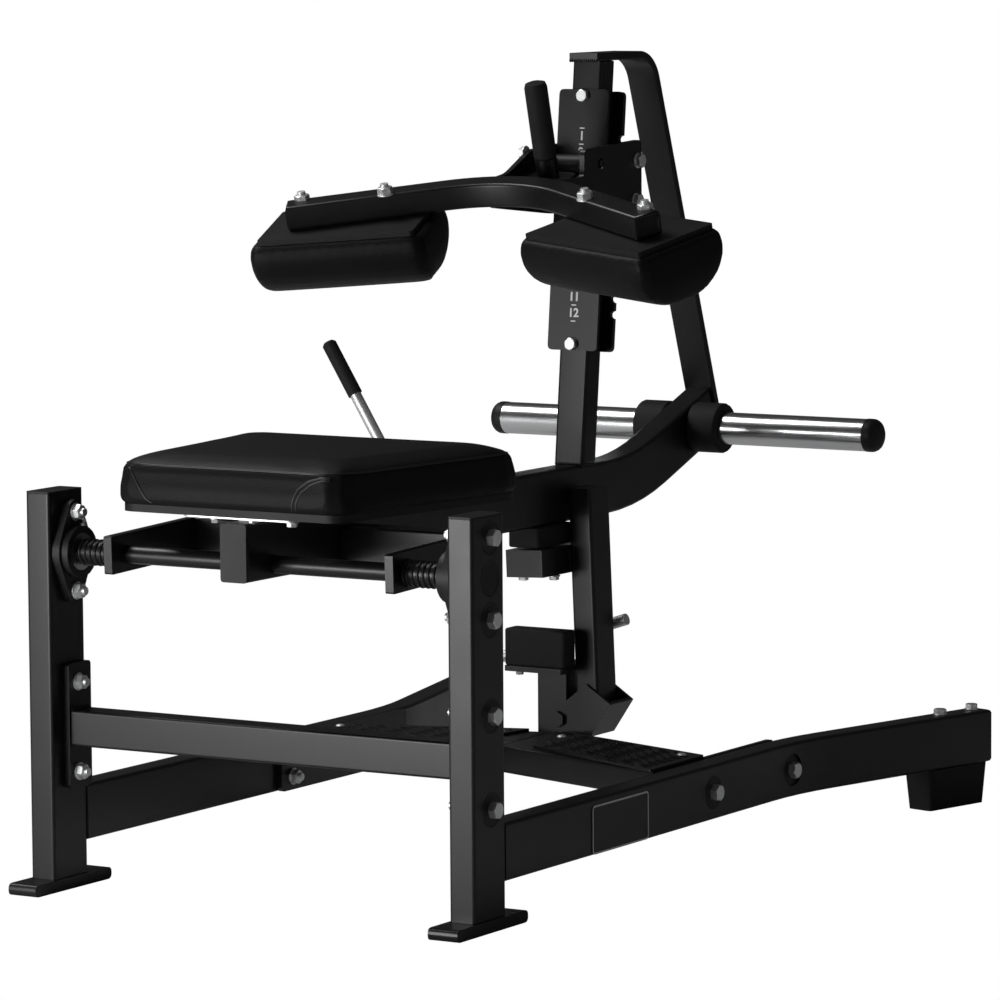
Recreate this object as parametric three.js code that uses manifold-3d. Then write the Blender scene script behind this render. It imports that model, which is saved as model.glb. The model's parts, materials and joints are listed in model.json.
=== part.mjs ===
// Seated calf raise machine, plate loaded.
// Millimetres. +Z up, +Y towards the weight horns, +X to the user's right.
// Sizes along Y are counted from the rear face of the uprights. The last lines move the whole machine
// so that its origin is the middle of its footprint, on the floor.

import * as THREE from 'three';
import { mergeVertices } from 'three/addons/utils/BufferGeometryUtils.js';
import Module from 'manifold-3d';

const wasm = await Module();
wasm.setup();

// Fits shared by the whole machine
const seat = 0.3; // gap between pieces that are bolted or welded face to face
const running = 0.3; // radial clearance of what turns or slides
const overrun = 20; // how far a cut reaches past the piece it cuts

// Rectangular frame tube of the base and the arm
const tube = { width: 40, depth: 80, corner: 5 };

// Base
const upright = { outerHalf: 362.5, height: 538.7, capHeight: 3 };
const recess = { radius: 24, depth: 2 };
const shoe = { width: 46, height: 17, rearReach: 50, frontReach: 52, lip: 8 };
const crossbar = { height: 50, depth: 45, rearY: 30, bottomZ: 202.5, corner: 4 };
const crossbarFlange = { thickness: 10, depth: 52, height: 175, bottomZ: 143, boltSpacing: 126, corner: 6 };
const rail = { bottomZ: 62, splay: 14.5, bendY: 915, bendRadius: 600, frontY: 1333, boltYs: [652, 886] };
// The front foot narrows downwards: its sole is smaller than its top. Insets are from the rail's outer side
const frontFoot = {
  width: 55, length: 130.7, inset: 3, soleWidth: 44.5, soleLength: 122.6, soleInset: 6, soleBack: 1.75,
  pastRail: -5, corner: 8,
};

// V shaped footrest and its tread plates
const footrest = { height: 40, apexRearY: 659.4, depth: 152.6, sweepShare: 0.327, lap: 0.25, corner: 5 };
const footrestFlange = { thickness: 8, rearY: 560, frontY: 905, corner: 8 };
const tread = {
  thickness: 4, innerRearX: 56, innerRearY: 660, innerFrontX: 29, innerFrontY: 799,
  outerGap: 1.5, outerRearY: 545, outerFrontY: 700, corner: 6,
};

// Stop column in the middle of the footrest, with its rubber stop
const column = { width: 52, depth: 56, bottomZ: 102, topZ: 236, corner: 4 };
const columnPlate = { leftHalf: 52, rearRightHalf: 47, rightHalf: 36, thickness: 8, rearY: 761 };
const stopBumper = { width: 104, depth: 35, height: 55.5, edge: 7 };

// Flange bearings and the shaft of the arm
const pivot = { y: 45, z: 474, shaftRadius: 12.5, shaftEndGap: 2 };
const bearing = {
  ringRadius: 26, ringWidth: 22, bossRadius: 36, bossLength: 23,
  flangeThickness: 12, flangeRadius: 40, earRadius: 17, earSpacing: 110,
};

// Arm
const beam = {
  width: 42, bottomZ: 455, rearReach: 22, bendY: 1031, sweep: 19.7, bendRadius: 480, frontRun: 257,
};
const beamCap = { thickness: 3 };
const sidePlate = {
  thickness: 12.8, topRise: 30, bottomDrop: 23, rise: 2, frontY: 211, rearReach: 39, corner: 3,
};
const spacer = { radius: 16.75, length: 63.6 };
const crossmember = { depth: 50, height: 50, drop: 26, corner: 4 }; // the drop is from the beam's top
const seatBracket = {
  width: 180, rearY: -16, frontY: 285, thickness: 4.8, footHeight: 4.7, footRearY: 15, corner: 12,
};
const seatBoard = { thickness: 10.5, inset: 8, corner: 24 };
const cushion = {
  rearHalf: 185, frontHalf: 236, rearY: -46, frontY: 351, height: 64, corner: 38, softEdge: 9,
};
const cushionSteps = 64;
// Each ring of the cushion: shares of the soft edge that it is drawn in, and of the height
const cushionRingShares = [
  [1, 0], [0.25, 0.13], [0, 0.4], [0.33, 0.74], [1, 0.87], [2.4, 0.92], [6, 0.965], [12, 0.99],
];
const armBumper = { width: 52, rearY: 732, frontY: 832, edge: 3 };
const horn = { y: 1215.4, rise: 2, radius: 24.75, half: 317, capRadius: 25.35, capLength: 23 };
const domeSteps = 6;
const domeFullness = 0.6; // below 1 the horn caps' domes are fuller than a half circle
const hornBumper = { radius: 38.5, width: 50.5, edge: 4 };

// Mast, its plates and the strap that ties it to the beam's front end
const mast = { width: 50, depth: 40, footY: 862.8, lean: 5.94, topZ: 1130.7, corner: 5 };
const numberPlate = { width: 84, thickness: 5, bottomZ: 704, topZ: 1089, corner: 8 };
const notchPlate = { thickness: 8, pitch: 23.7, firstZ: 759.3, count: 12, notchRadius: 6 };
const strap = { width: 50, thickness: 12, rearY: 914, bendRadius: 55, lowerReach: 40, corner: 2 };

// Pad carriage, drawn at its second mark from the top. Rises and drops are counted from the yoke's top,
// and reaches forwards from the yoke's rear edge
const carriage = {
  plateThickness: 8, plateGap: 2, corner: 10, tailReach: 40, tailRise: 4, tailDrop: 38,
  bellyReach: 209, frontReach: 309, frontDrop: 55, frontRise: 53, rearReach: 140, rearRise: 44.6,
};
const gusset = { reach: 84.7, rise: 10.3, topReach: 150.8, topRise: 42.3 }; // on the left plate alone
const stopHole = { radius: 8.5, reach: 188.3, rise: 21.1 };
const keel = { thickness: 6, bottomDrop: 50 };
const deck = { thickness: 6, drop: 24, corner: 18 };
const guideRoller = { pinRadius: 9.7, radius: 24, half: 30, upperRise: 29.5, lowerDrop: 30 };
const rearRoller = { radius: 13, rise: 19 };
const yoke = {
  width: 42, height: 37, corner: 5, rearY: 686, topZ: 960, tilt: 14.5,
  sweep: 29.5, bendRadius: 206, half: 303,
};
const padBoard = {
  length: 236, depth: 149, thickness: 8, yaw: 17.1, middleX: 228.6, middleY: -79, corner: 6,
};
const thighPad = { length: 262, depth: 166, height: 84, corner: 16, flankShare: 0.25 };
const thighPadSteps = 48;
const thighPadRings = 6;
const roundness = 0.9; // below 1 the thigh pads are fuller than a half circle
const gripPost = { radius: 11, y: 121, collarRadius: 16.5 };
const handGrip = { radius: 17, bottomZ: 2, length: 116, edge: 4 };

// Catch that holds the arm up, on a fore and aft pin through the stop column
const catchPivot = { x: 16, z: 163, pinRadius: 7, headRadius: 12, headLength: 8, lean: 2.3 };
const catchPost = { width: 38, depth: 57, rearY: 812, leftX: 26.2, bottomZ: 15, topZ: 342, corner: 5 };
const catchFoot = {
  thickness: 5.7, pivotRadius: 15, width: 50, headZ: 38, headX: 68, slope: 36, wallShare: 1.2,
};
const catchBlock = { width: 64, height: 40, rearY: 734, frontY: 862, topZ: 258, corner: 3 };
const lever = {
  radius: 8.75, stubX: 80, stubZ: 142, bendX: -154, bendZ: 75, bendRadius: 34,
  gripX: -381, gripZ: 476, halfSides: 6, steps: 44,
};
const leverGrip = { radius: 11.2, length: 92, overlap: 76 };

// Finishes
function finish(color, roughness, metalness) {
  return new THREE.MeshStandardMaterial({ color, roughness, metalness });
}

const blackPaint = finish(0x17181a, 0.45, 0.3);
const chrome = finish(0xd9dadc, 0.12, 1);
const zinc = finish(0xb9bcc0, 0.32, 0.9);
const steel = finish(0x8c9096, 0.35, 0.9);
const blackRubber = finish(0x141414, 0.85, 0);
const blackPlastic = finish(0x1b1b1c, 0.55, 0);
const blackVinyl = finish(0x161617, 0.6, 0);
const plywood = finish(0x3a3028, 0.8, 0);
const castIron = finish(0x222325, 0.6, 0.4);
const plateFace = finish(0x101011, 0.5, 0);

const xAxis = new THREE.Vector3(1, 0, 0);
const yAxis = new THREE.Vector3(0, 1, 0);
const zAxis = new THREE.Vector3(0, 0, 1);
const acrossMatrix = new THREE.Matrix4().makeBasis(yAxis, zAxis, xAxis);
const foreMatrix = new THREE.Matrix4().makeBasis(xAxis, zAxis, yAxis.clone().negate());
const roundSides = 24;
const hexSides = 6;
const arcStep = THREE.MathUtils.degToRad(4);
const cornerRoomShare = 1 / 2.1; // a rounded corner takes less than half of each side

// Closed solids, and cuts and joins between them

function toSolid(geometry) {
  const bare = geometry.clone();
  bare.deleteAttribute('normal');
  bare.deleteAttribute('uv');
  const merged = mergeVertices(bare);
  const mesh = new wasm.Mesh({
    numProp: 3,
    vertProperties: new Float32Array(merged.attributes.position.array),
    triVerts: Uint32Array.from(merged.index.array),
  });
  return new wasm.Manifold(mesh);
}

function toGeometry(solid) {
  const mesh = solid.getMesh();
  const geometry = new THREE.BufferGeometry();
  geometry.setAttribute('position', new THREE.BufferAttribute(new Float32Array(mesh.vertProperties), 3));
  geometry.setIndex(new THREE.BufferAttribute(new Uint32Array(mesh.triVerts), 1));
  const loose = geometry.toNonIndexed();
  loose.computeVertexNormals();
  return loose;
}

function cut(geometry, ...tools) {
  return toGeometry(tools.reduce((solid, tool) => solid.subtract(toSolid(tool)), toSolid(geometry)));
}

function join(geometry, ...others) {
  return toGeometry(others.reduce((solid, other) => solid.add(toSolid(other)), toSolid(geometry)));
}

function mirrorX(geometry) {
  const copy = geometry.index ? geometry.toNonIndexed() : geometry.clone();
  const position = copy.attributes.position;
  for (let i = 0; i < position.count; i += 3) {
    const first = [-position.getX(i), position.getY(i), position.getZ(i)];
    const second = [-position.getX(i + 1), position.getY(i + 1), position.getZ(i + 1)];
    const third = [-position.getX(i + 2), position.getY(i + 2), position.getZ(i + 2)];
    position.setXYZ(i, ...first);
    position.setXYZ(i + 1, ...third);
    position.setXYZ(i + 2, ...second);
  }
  copy.computeVertexNormals();
  return copy;
}

function piece(parent, name, geometry, material) {
  const mesh = new THREE.Mesh(geometry, material);
  mesh.name = name;
  parent.add(mesh);
  return mesh;
}

// A right hand piece and its mirror image
function pair(parent, name, geometry, material) {
  piece(parent, `${name}_right`, geometry, material);
  piece(parent, `${name}_left`, mirrorX(geometry), material);
}

// Outlines

function roundedPolygon(points, radius) {
  const corners = points.map(([x, y]) => new THREE.Vector2(x, y));
  const shape = new THREE.Shape();
  corners.forEach((corner, i) => {
    const before = corners[(i + corners.length - 1) % corners.length];
    const after = corners[(i + 1) % corners.length];
    const back = before.clone().sub(corner);
    const ahead = after.clone().sub(corner);
    const reach = Math.min(radius, back.length() * cornerRoomShare, ahead.length() * cornerRoomShare);
    const start = corner.clone().add(back.setLength(reach));
    const end = corner.clone().add(ahead.setLength(reach));
    if (i === 0) shape.moveTo(start.x, start.y);
    else shape.lineTo(start.x, start.y);
    shape.quadraticCurveTo(corner.x, corner.y, end.x, end.y);
  });
  shape.closePath();
  return shape;
}

function rectangle(left, bottom, right, top, radius) {
  return roundedPolygon([[left, bottom], [right, bottom], [right, top], [left, top]], radius);
}

function disc(x, y, radius) {
  const shape = new THREE.Shape();
  shape.absarc(x, y, radius, 0, 2 * Math.PI);
  return shape;
}

// The outline of a strip of even width along straight runs and bends
class BentRun {
  constructor(x, y, heading) {
    this.point = new THREE.Vector2(x, y);
    this.heading = THREE.MathUtils.degToRad(heading);
    this.stations = [{ point: this.point.clone(), heading: this.heading }];
  }

  advance(length) {
    const along = new THREE.Vector2(Math.cos(this.heading), Math.sin(this.heading));
    this.point.addScaledVector(along, length);
  }

  straight(length) {
    this.advance(length);
    this.stations.push({ point: this.point.clone(), heading: this.heading });
    return this;
  }

  bend(degrees, radius) {
    const angle = THREE.MathUtils.degToRad(degrees);
    const steps = Math.ceil(Math.abs(angle) / arcStep);
    const chord = 2 * radius * Math.sin(Math.abs(angle) / steps / 2);
    for (let i = 0; i < steps; i += 1) {
      this.heading += angle / steps / 2;
      this.advance(chord);
      this.heading += angle / steps / 2;
      this.stations.push({ point: this.point.clone(), heading: this.heading });
    }
    return this;
  }

  outline(width) {
    const side = (reach) => this.stations.map(({ point, heading }) => new THREE.Vector2(
      point.x - Math.sin(heading) * reach,
      point.y + Math.cos(heading) * reach,
    ));
    return new THREE.Shape([...side(-width / 2), ...side(width / 2).reverse()]);
  }
}

// Straight solids from outlines

function prism(shape, length, edge = 0) {
  const geometry = new THREE.ExtrudeGeometry(shape, {
    depth: length - 2 * edge,
    bevelEnabled: edge > 0,
    bevelThickness: edge,
    bevelSize: edge,
    bevelOffset: -edge,
    bevelSegments: 2,
    curveSegments: 4,
  });
  return geometry.translate(0, 0, edge);
}

function upwards(shape, bottomZ, height, edge = 0) {
  return prism(shape, height, edge).translate(0, 0, bottomZ);
}

// The outline is drawn in Y and Z
function across(shape, fromX, toX, edge = 0) {
  return prism(shape, toX - fromX, edge).applyMatrix4(acrossMatrix).translate(fromX, 0, 0);
}

// The outline is drawn in X and Z
function fore(shape, fromY, toY, edge = 0) {
  return prism(shape, toY - fromY, edge).applyMatrix4(foreMatrix).translate(0, toY, 0);
}

function roundBar(from, to, radius, sides = roundSides) {
  const run = to.clone().sub(from);
  const geometry = new THREE.CylinderGeometry(radius, radius, run.length(), sides);
  geometry.applyQuaternion(new THREE.Quaternion().setFromUnitVectors(yAxis, run.clone().normalize()));
  const middle = from.clone().addScaledVector(run, 0.5);
  return geometry.translate(middle.x, middle.y, middle.z);
}

function roundBarX(fromX, toX, y, z, radius, sides = roundSides) {
  return roundBar(new THREE.Vector3(fromX, y, z), new THREE.Vector3(toX, y, z), radius, sides);
}

function roundBarY(fromY, toY, x, z, radius, sides = roundSides) {
  return roundBar(new THREE.Vector3(x, fromY, z), new THREE.Vector3(x, toY, z), radius, sides);
}

// A turned piece: profile points are distances along +X and radii
function turnedX(profile, fromX, y, z, sides = roundSides) {
  const points = profile.map(([along, radius]) => new THREE.Vector2(radius, along));
  const geometry = new THREE.LatheGeometry(points, sides);
  geometry.rotateZ(-Math.PI / 2);
  return geometry.translate(fromX, y, z);
}

// A cushion on a flat board: rings drawn in from the outline, each at its own share of the height
function padded(shape, height, points, rings) {
  const outline = shape.getSpacedPoints(points).slice(0, points);
  const box = new THREE.Box2().setFromPoints(outline);
  const middle = box.getCenter(new THREE.Vector2());
  const half = box.getSize(new THREE.Vector2()).multiplyScalar(0.5);
  const vertices = [middle.x, middle.y, 0];
  rings.forEach(({ inset, insetY = inset, heightShare }) => {
    outline.forEach((point) => {
      const x = middle.x + (point.x - middle.x) * (1 - inset / half.x);
      const y = middle.y + (point.y - middle.y) * (1 - insetY / half.y);
      vertices.push(x, y, height * heightShare);
    });
  });
  vertices.push(middle.x, middle.y, height);
  const index = [];
  const at = (ring, i) => 1 + ring * points + (i % points);
  for (let i = 0; i < points; i += 1) {
    index.push(0, at(0, i + 1), at(0, i));
    for (let ring = 0; ring + 1 < rings.length; ring += 1) {
      index.push(at(ring, i), at(ring, i + 1), at(ring + 1, i + 1));
      index.push(at(ring, i), at(ring + 1, i + 1), at(ring + 1, i));
    }
    index.push(at(rings.length - 1, i), at(rings.length - 1, i + 1), 1 + rings.length * points);
  }
  const geometry = new THREE.BufferGeometry();
  geometry.setAttribute('position', new THREE.Float32BufferAttribute(vertices, 3));
  geometry.setIndex(index);
  const loose = geometry.toNonIndexed();
  loose.computeVertexNormals();
  return loose;
}

const machine = new THREE.Group();
const base = new THREE.Group();
const arm = new THREE.Group();
const carriageGroup = new THREE.Group();
machine.add(base, arm, carriageGroup);

const radians = THREE.MathUtils.degToRad;
const uprightMiddle = upright.outerHalf - tube.width / 2;
const uprightInner = upright.outerHalf - tube.width;
const uprightFootZ = shoe.height + seat;
const uprightTop = uprightFootZ + upright.height;
const crossbarMiddleZ = crossbar.bottomZ + crossbar.height / 2;
const railTop = rail.bottomZ + tube.depth;
const bearingInner = uprightInner - seat - bearing.bossLength;
const sideOuter = bearingInner - seat - spacer.length - seat;
const sideInner = sideOuter - sidePlate.thickness;

// Uprights, caps and shoes

function makeUprights() {
  const section = rectangle(uprightMiddle - tube.width / 2, 0, upright.outerHalf, tube.depth, tube.corner);
  const heights = [
    pivot.z + bearing.earSpacing / 2,
    pivot.z,
    pivot.z - bearing.earSpacing / 2,
    crossbarMiddleZ + crossbarFlange.boltSpacing / 2,
    crossbarMiddleZ - crossbarFlange.boltSpacing / 2,
  ];
  const recesses = heights.map((z) => roundBarX(
    upright.outerHalf - recess.depth,
    upright.outerHalf + overrun,
    pivot.y,
    z,
    recess.radius,
  ));
  pair(base, 'upright', cut(upwards(section, uprightFootZ, upright.height), ...recesses), blackPaint);
  pair(base, 'upright_cap', upwards(section, uprightTop + seat, upright.capHeight), blackPlastic);

  const rear = -shoe.rearReach;
  const front = tube.depth + shoe.frontReach;
  const profile = roundedPolygon([
    [rear, 0],
    [front, 0],
    [front, shoe.height],
    [rear, shoe.height],
  ], shoe.lip);
  const shoeInner = uprightMiddle - shoe.width / 2;
  pair(base, 'shoe', across(profile, shoeInner, shoeInner + shoe.width), blackPaint);
}

function makeCrossbar() {
  const reach = uprightInner - seat;
  const bar = rectangle(
    crossbar.rearY,
    crossbar.bottomZ,
    crossbar.rearY + crossbar.depth,
    crossbar.bottomZ + crossbar.height,
    crossbar.corner,
  );
  const flangeRear = crossbar.rearY + crossbar.depth / 2 - crossbarFlange.depth / 2;
  const flange = rectangle(
    flangeRear,
    crossbarFlange.bottomZ,
    flangeRear + crossbarFlange.depth,
    crossbarFlange.bottomZ + crossbarFlange.height,
    crossbarFlange.corner,
  );
  const inner = reach - crossbarFlange.thickness;
  const middle = across(bar, -inner - crossbarFlange.thickness / 2, inner + crossbarFlange.thickness / 2);
  piece(base, 'rear_crossbar', join(middle, across(flange, inner, reach), across(flange, -reach, -inner)),
    blackPaint);
}

// Rails, front feet

function railRun() {
  const tangent = rail.bendRadius * Math.tan(radians(rail.splay / 2));
  const start = tube.depth + seat;
  const frontRun = (rail.frontY - rail.bendY) / Math.cos(radians(rail.splay)) - tangent;
  return new BentRun(uprightMiddle, start, 90)
    .straight(rail.bendY - tangent - start)
    .bend(-rail.splay, rail.bendRadius)
    .straight(frontRun);
}

function makeRails() {
  const run = railRun();
  const recesses = rail.boltYs.map((y) => roundBarX(
    upright.outerHalf - recess.depth,
    upright.outerHalf + overrun,
    y,
    rail.bottomZ + tube.depth / 2,
    recess.radius,
  ));
  const body = upwards(run.outline(tube.width), rail.bottomZ, tube.depth, tube.corner);
  pair(base, 'base_rail', cut(body, ...recesses), blackPaint);

  const height = rail.bottomZ - seat;
  const foot = upwards(rectangle(
    -frontFoot.width / 2,
    -frontFoot.length / 2,
    frontFoot.width / 2,
    frontFoot.length / 2,
    frontFoot.corner,
  ), 0, height);
  const topX = tube.width / 2 - frontFoot.inset - frontFoot.width / 2;
  const soleX = tube.width / 2 - frontFoot.soleInset - frontFoot.soleWidth / 2;
  const topY = -frontFoot.length / 2;
  const taper = new THREE.Vector3();
  const position = foot.attributes.position;
  for (let i = 0; i < position.count; i += 1) {
    taper.fromBufferAttribute(position, i);
    const share = taper.z / height;
    const narrow = THREE.MathUtils.lerp(frontFoot.soleWidth / frontFoot.width, 1, share);
    const short = THREE.MathUtils.lerp(frontFoot.soleLength / frontFoot.length, 1, share);
    position.setX(i, THREE.MathUtils.lerp(soleX, topX, share) + taper.x * narrow);
    position.setY(i, THREE.MathUtils.lerp(topY - frontFoot.soleBack, topY, share) + taper.y * short);
  }
  foot.rotateZ(-radians(rail.splay));
  const along = new THREE.Vector2(Math.sin(radians(rail.splay)), Math.cos(radians(rail.splay)));
  const toe = run.point.clone().addScaledVector(along, frontFoot.pastRail);
  pair(base, 'front_foot', foot.translate(toe.x, toe.y, 0), blackRubber);
}

// Footrest

function footrestEdgeY(x) {
  return footrest.apexRearY - footrest.sweepShare * x;
}

function footrestHalf(gap) {
  const inner = seat / 2 - gap;
  const outer = uprightInner - seat - footrestFlange.thickness / 2;
  const half = footrest.depth / 2;
  const strip = (from, to) => upwards(new THREE.Shape([
    new THREE.Vector2(inner, footrestEdgeY(inner) + from - gap),
    new THREE.Vector2(outer, footrestEdgeY(outer) + from - gap),
    new THREE.Vector2(outer, footrestEdgeY(outer) + to + gap),
    new THREE.Vector2(inner, footrestEdgeY(inner) + to + gap),
  ]), railTop - footrest.height - gap, footrest.height + 2 * gap, footrest.corner);
  const flange = rectangle(
    footrestFlange.rearY,
    rail.bottomZ,
    footrestFlange.frontY,
    railTop,
    footrestFlange.corner,
  );
  const flangeOuter = uprightInner - seat;
  return join(
    strip(0, half + footrest.lap),
    strip(half - footrest.lap, footrest.depth),
    across(flange, flangeOuter - footrestFlange.thickness, flangeOuter),
  );
}

function makeFootrest() {
  pair(base, 'footrest_frame', footrestHalf(0), blackPaint);
  const outer = uprightInner - tread.outerGap;
  const outline = roundedPolygon([
    [tread.innerRearX, tread.innerRearY],
    [outer, tread.outerRearY],
    [outer, tread.outerFrontY],
    [tread.innerFrontX, tread.innerFrontY],
  ], tread.corner);
  pair(base, 'foot_plate', upwards(outline, railTop + seat, tread.thickness), blackPaint);
}

// Stop column, its rubber stop and the pin of the catch

const columnRear = catchPost.rearY + (catchPost.depth - column.depth) / 2;
const columnFront = columnRear + column.depth;
const pinRear = catchPost.rearY - seat - catchFoot.thickness;
const pinFront = catchPost.rearY + catchPost.depth + seat + catchFoot.thickness;

function makeStopColumn() {
  const shaft = upwards(
    rectangle(-column.width / 2, columnRear, column.width / 2, columnFront, column.corner),
    column.bottomZ,
    column.topZ - column.bottomZ + columnPlate.thickness / 2,
  );
  const shoulderY = pinRear - catchPivot.headLength;
  const plate = upwards(roundedPolygon([
    [-columnPlate.leftHalf, columnPlate.rearY],
    [columnPlate.rearRightHalf, columnPlate.rearY],
    [columnPlate.rearRightHalf, shoulderY],
    [columnPlate.rightHalf, shoulderY],
    [columnPlate.rightHalf, columnFront],
    [-columnPlate.leftHalf, columnFront],
  ], column.corner), column.topZ, columnPlate.thickness);
  const bore = roundBarY(pinRear - overrun, pinFront + overrun, catchPivot.x, catchPivot.z,
    catchPivot.pinRadius + running);
  const footrestSpace = footrestHalf(seat);
  const body = cut(join(shaft, plate), bore, footrestSpace, mirrorX(footrestSpace));
  piece(base, 'stop_column', body, blackPaint);

  const rubber = rectangle(
    -stopBumper.width / 2,
    columnPlate.rearY - seat,
    stopBumper.width / 2,
    columnPlate.rearY - seat + stopBumper.depth,
    stopBumper.edge,
  );
  const stopZ = column.topZ + columnPlate.thickness + seat;
  piece(base, 'stop_bumper', upwards(rubber, stopZ, stopBumper.height, stopBumper.edge / 2), blackRubber);

  const head = (fromY, toY) => roundBarY(fromY, toY, catchPivot.x, catchPivot.z, catchPivot.headRadius,
    hexSides);
  const pin = join(
    roundBarY(pinRear - running - catchPivot.headLength / 2, pinFront + running + catchPivot.headLength / 2,
      catchPivot.x, catchPivot.z, catchPivot.pinRadius),
    head(pinRear - running - catchPivot.headLength, pinRear - running),
    head(pinFront + running, pinFront + running + catchPivot.headLength),
  );
  piece(base, 'catch_pin', pin, blackPaint);
}

// Bearings and the arm's shaft

function makeBearings() {
  const ears = bearing.earSpacing / 2;
  const plan = new THREE.Shape();
  const lean = Math.acos((bearing.flangeRadius - bearing.earRadius) / ears);
  plan.absarc(pivot.y, pivot.z, bearing.flangeRadius, lean - Math.PI / 2, Math.PI / 2 - lean);
  plan.absarc(pivot.y, pivot.z + ears, bearing.earRadius, Math.PI / 2 - lean, Math.PI / 2 + lean);
  plan.absarc(pivot.y, pivot.z, bearing.flangeRadius, Math.PI / 2 + lean, (3 * Math.PI) / 2 - lean);
  plan.absarc(pivot.y, pivot.z - ears, bearing.earRadius, (3 * Math.PI) / 2 - lean,
    (3 * Math.PI) / 2 + lean);
  const outer = uprightInner - seat;
  const housing = cut(
    join(
      across(plan, outer - bearing.flangeThickness, outer),
      roundBarX(bearingInner, outer - bearing.flangeThickness / 2, pivot.y, pivot.z, bearing.bossRadius),
    ),
    roundBarX(bearingInner - overrun, outer + overrun, pivot.y, pivot.z, bearing.ringRadius + running),
  );
  pair(base, 'bearing_housing', housing, castIron);

  const half = bearing.ringWidth / 2;
  const middle = outer - bearing.bossLength / 2;
  const ring = turnedX([
    [-half, pivot.shaftRadius + seat],
    [-half, bearing.ringRadius],
    [half, bearing.ringRadius],
    [half, pivot.shaftRadius + seat],
    [-half, pivot.shaftRadius + seat],
  ], middle, pivot.y, pivot.z);
  pair(arm, 'bearing_ring', ring, steel);

  const sleeve = turnedX([
    [0, pivot.shaftRadius + seat],
    [0, spacer.radius],
    [spacer.length, spacer.radius],
    [spacer.length, pivot.shaftRadius + seat],
    [0, pivot.shaftRadius + seat],
  ], sideOuter + seat, pivot.y, pivot.z);
  pair(arm, 'shaft_spacer', sleeve, blackPaint);
  const shaftEnd = uprightInner - pivot.shaftEndGap;
  const shaft = roundBarX(-shaftEnd, shaftEnd, pivot.y, pivot.z, pivot.shaftRadius);
  piece(arm, 'pivot_shaft', shaft, blackPaint);
}

// Beam, crossmember and side plates

const beamMiddleZ = beam.bottomZ + tube.depth / 2;
const beamTop = beam.bottomZ + tube.depth;
const beamTangent = beam.bendRadius * Math.tan(radians(beam.sweep / 2));
const hornZ = beamMiddleZ + (horn.y - beam.bendY) * Math.tan(radians(beam.sweep)) + horn.rise;
const crossmemberFront = sidePlate.frontY + seat + crossmember.depth;

function beamRun() {
  return new BentRun(-beam.rearReach, beamMiddleZ, 0)
    .straight(beam.rearReach + beam.bendY - beamTangent)
    .bend(beam.sweep, beam.bendRadius)
    .straight(beam.frontRun - beamTangent);
}

function crossmemberSection(gap) {
  const topZ = beamTop - crossmember.drop;
  return rectangle(
    sidePlate.frontY + seat - gap,
    topZ - crossmember.height - gap,
    crossmemberFront + gap,
    topZ + gap,
    crossmember.corner,
  );
}

function makeBeam() {
  const half = beam.width / 2;
  const body = across(beamRun().outline(tube.depth), -half, half, tube.corner);
  const reach = half + overrun;
  piece(arm, 'main_beam', cut(
    body,
    roundBarX(-reach, reach, pivot.y, pivot.z, pivot.shaftRadius + seat),
    roundBarX(-reach, reach, horn.y, hornZ, horn.radius + seat),
    across(crossmemberSection(seat), -reach, reach),
  ), blackPaint);
  const cap = rectangle(-half, beam.bottomZ, half, beamTop, tube.corner);
  const capFront = -beam.rearReach - seat;
  piece(arm, 'beam_cap', fore(cap, capFront - beamCap.thickness, capFront), blackPlastic);

  piece(arm, 'crossmember', across(crossmemberSection(0), -sideOuter, sideOuter), blackPaint);

  const rise = radians(sidePlate.rise);
  const run = (sidePlate.frontY - pivot.y) / Math.cos(rise);
  const bar = rectangle(-sidePlate.rearReach, -sidePlate.bottomDrop, run, sidePlate.topRise,
    sidePlate.corner);
  const blank = across(bar, 0, sidePlate.thickness).rotateX(rise);
  blank.translate(sideInner, pivot.y, pivot.z);
  const shaftHole = roundBarX(sideInner - overrun, sideOuter + overrun, pivot.y, pivot.z,
    pivot.shaftRadius + seat);
  const front = across(crossmemberSection(seat), sideInner - overrun, sideOuter + overrun);
  pair(arm, 'side_plate', cut(blank, shaftHole, front), blackPaint);
}

// Seat

function seatOutline(inset, corner) {
  return roundedPolygon([
    [-cushion.rearHalf + inset, cushion.rearY + inset],
    [cushion.rearHalf - inset, cushion.rearY + inset],
    [cushion.frontHalf - inset, cushion.frontY - inset],
    [-cushion.frontHalf + inset, cushion.frontY - inset],
  ], corner);
}

function makeSeat() {
  const bracketZ = beamTop + seat + seatBracket.footHeight;
  const boardZ = bracketZ + seatBracket.thickness + seat;
  const cushionZ = boardZ + seatBoard.thickness + seat;
  const bracket = rectangle(
    -seatBracket.width / 2,
    seatBracket.rearY,
    seatBracket.width / 2,
    seatBracket.frontY,
    seatBracket.corner,
  );
  const foot = rectangle(-beam.width / 2, seatBracket.footRearY, beam.width / 2, seatBracket.frontY - seat,
    tube.corner);
  const plate = join(
    upwards(bracket, bracketZ, seatBracket.thickness),
    upwards(foot, beamTop + seat, seatBracket.footHeight + seatBracket.thickness / 2),
  );
  piece(arm, 'seat_bracket', plate, zinc);
  const board = seatOutline(seatBoard.inset, seatBoard.corner);
  piece(arm, 'seat_board', upwards(board, boardZ, seatBoard.thickness), plywood);
  const rings = cushionRingShares.map(([insetShare, heightShare]) => ({
    inset: cushion.softEdge * insetShare,
    heightShare,
  }));
  const pad = padded(seatOutline(0, cushion.corner), cushion.height, cushionSteps, rings);
  piece(arm, 'seat_cushion', pad.translate(0, 0, cushionZ), blackVinyl);
}

// Rubber stop under the beam, horns

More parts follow.
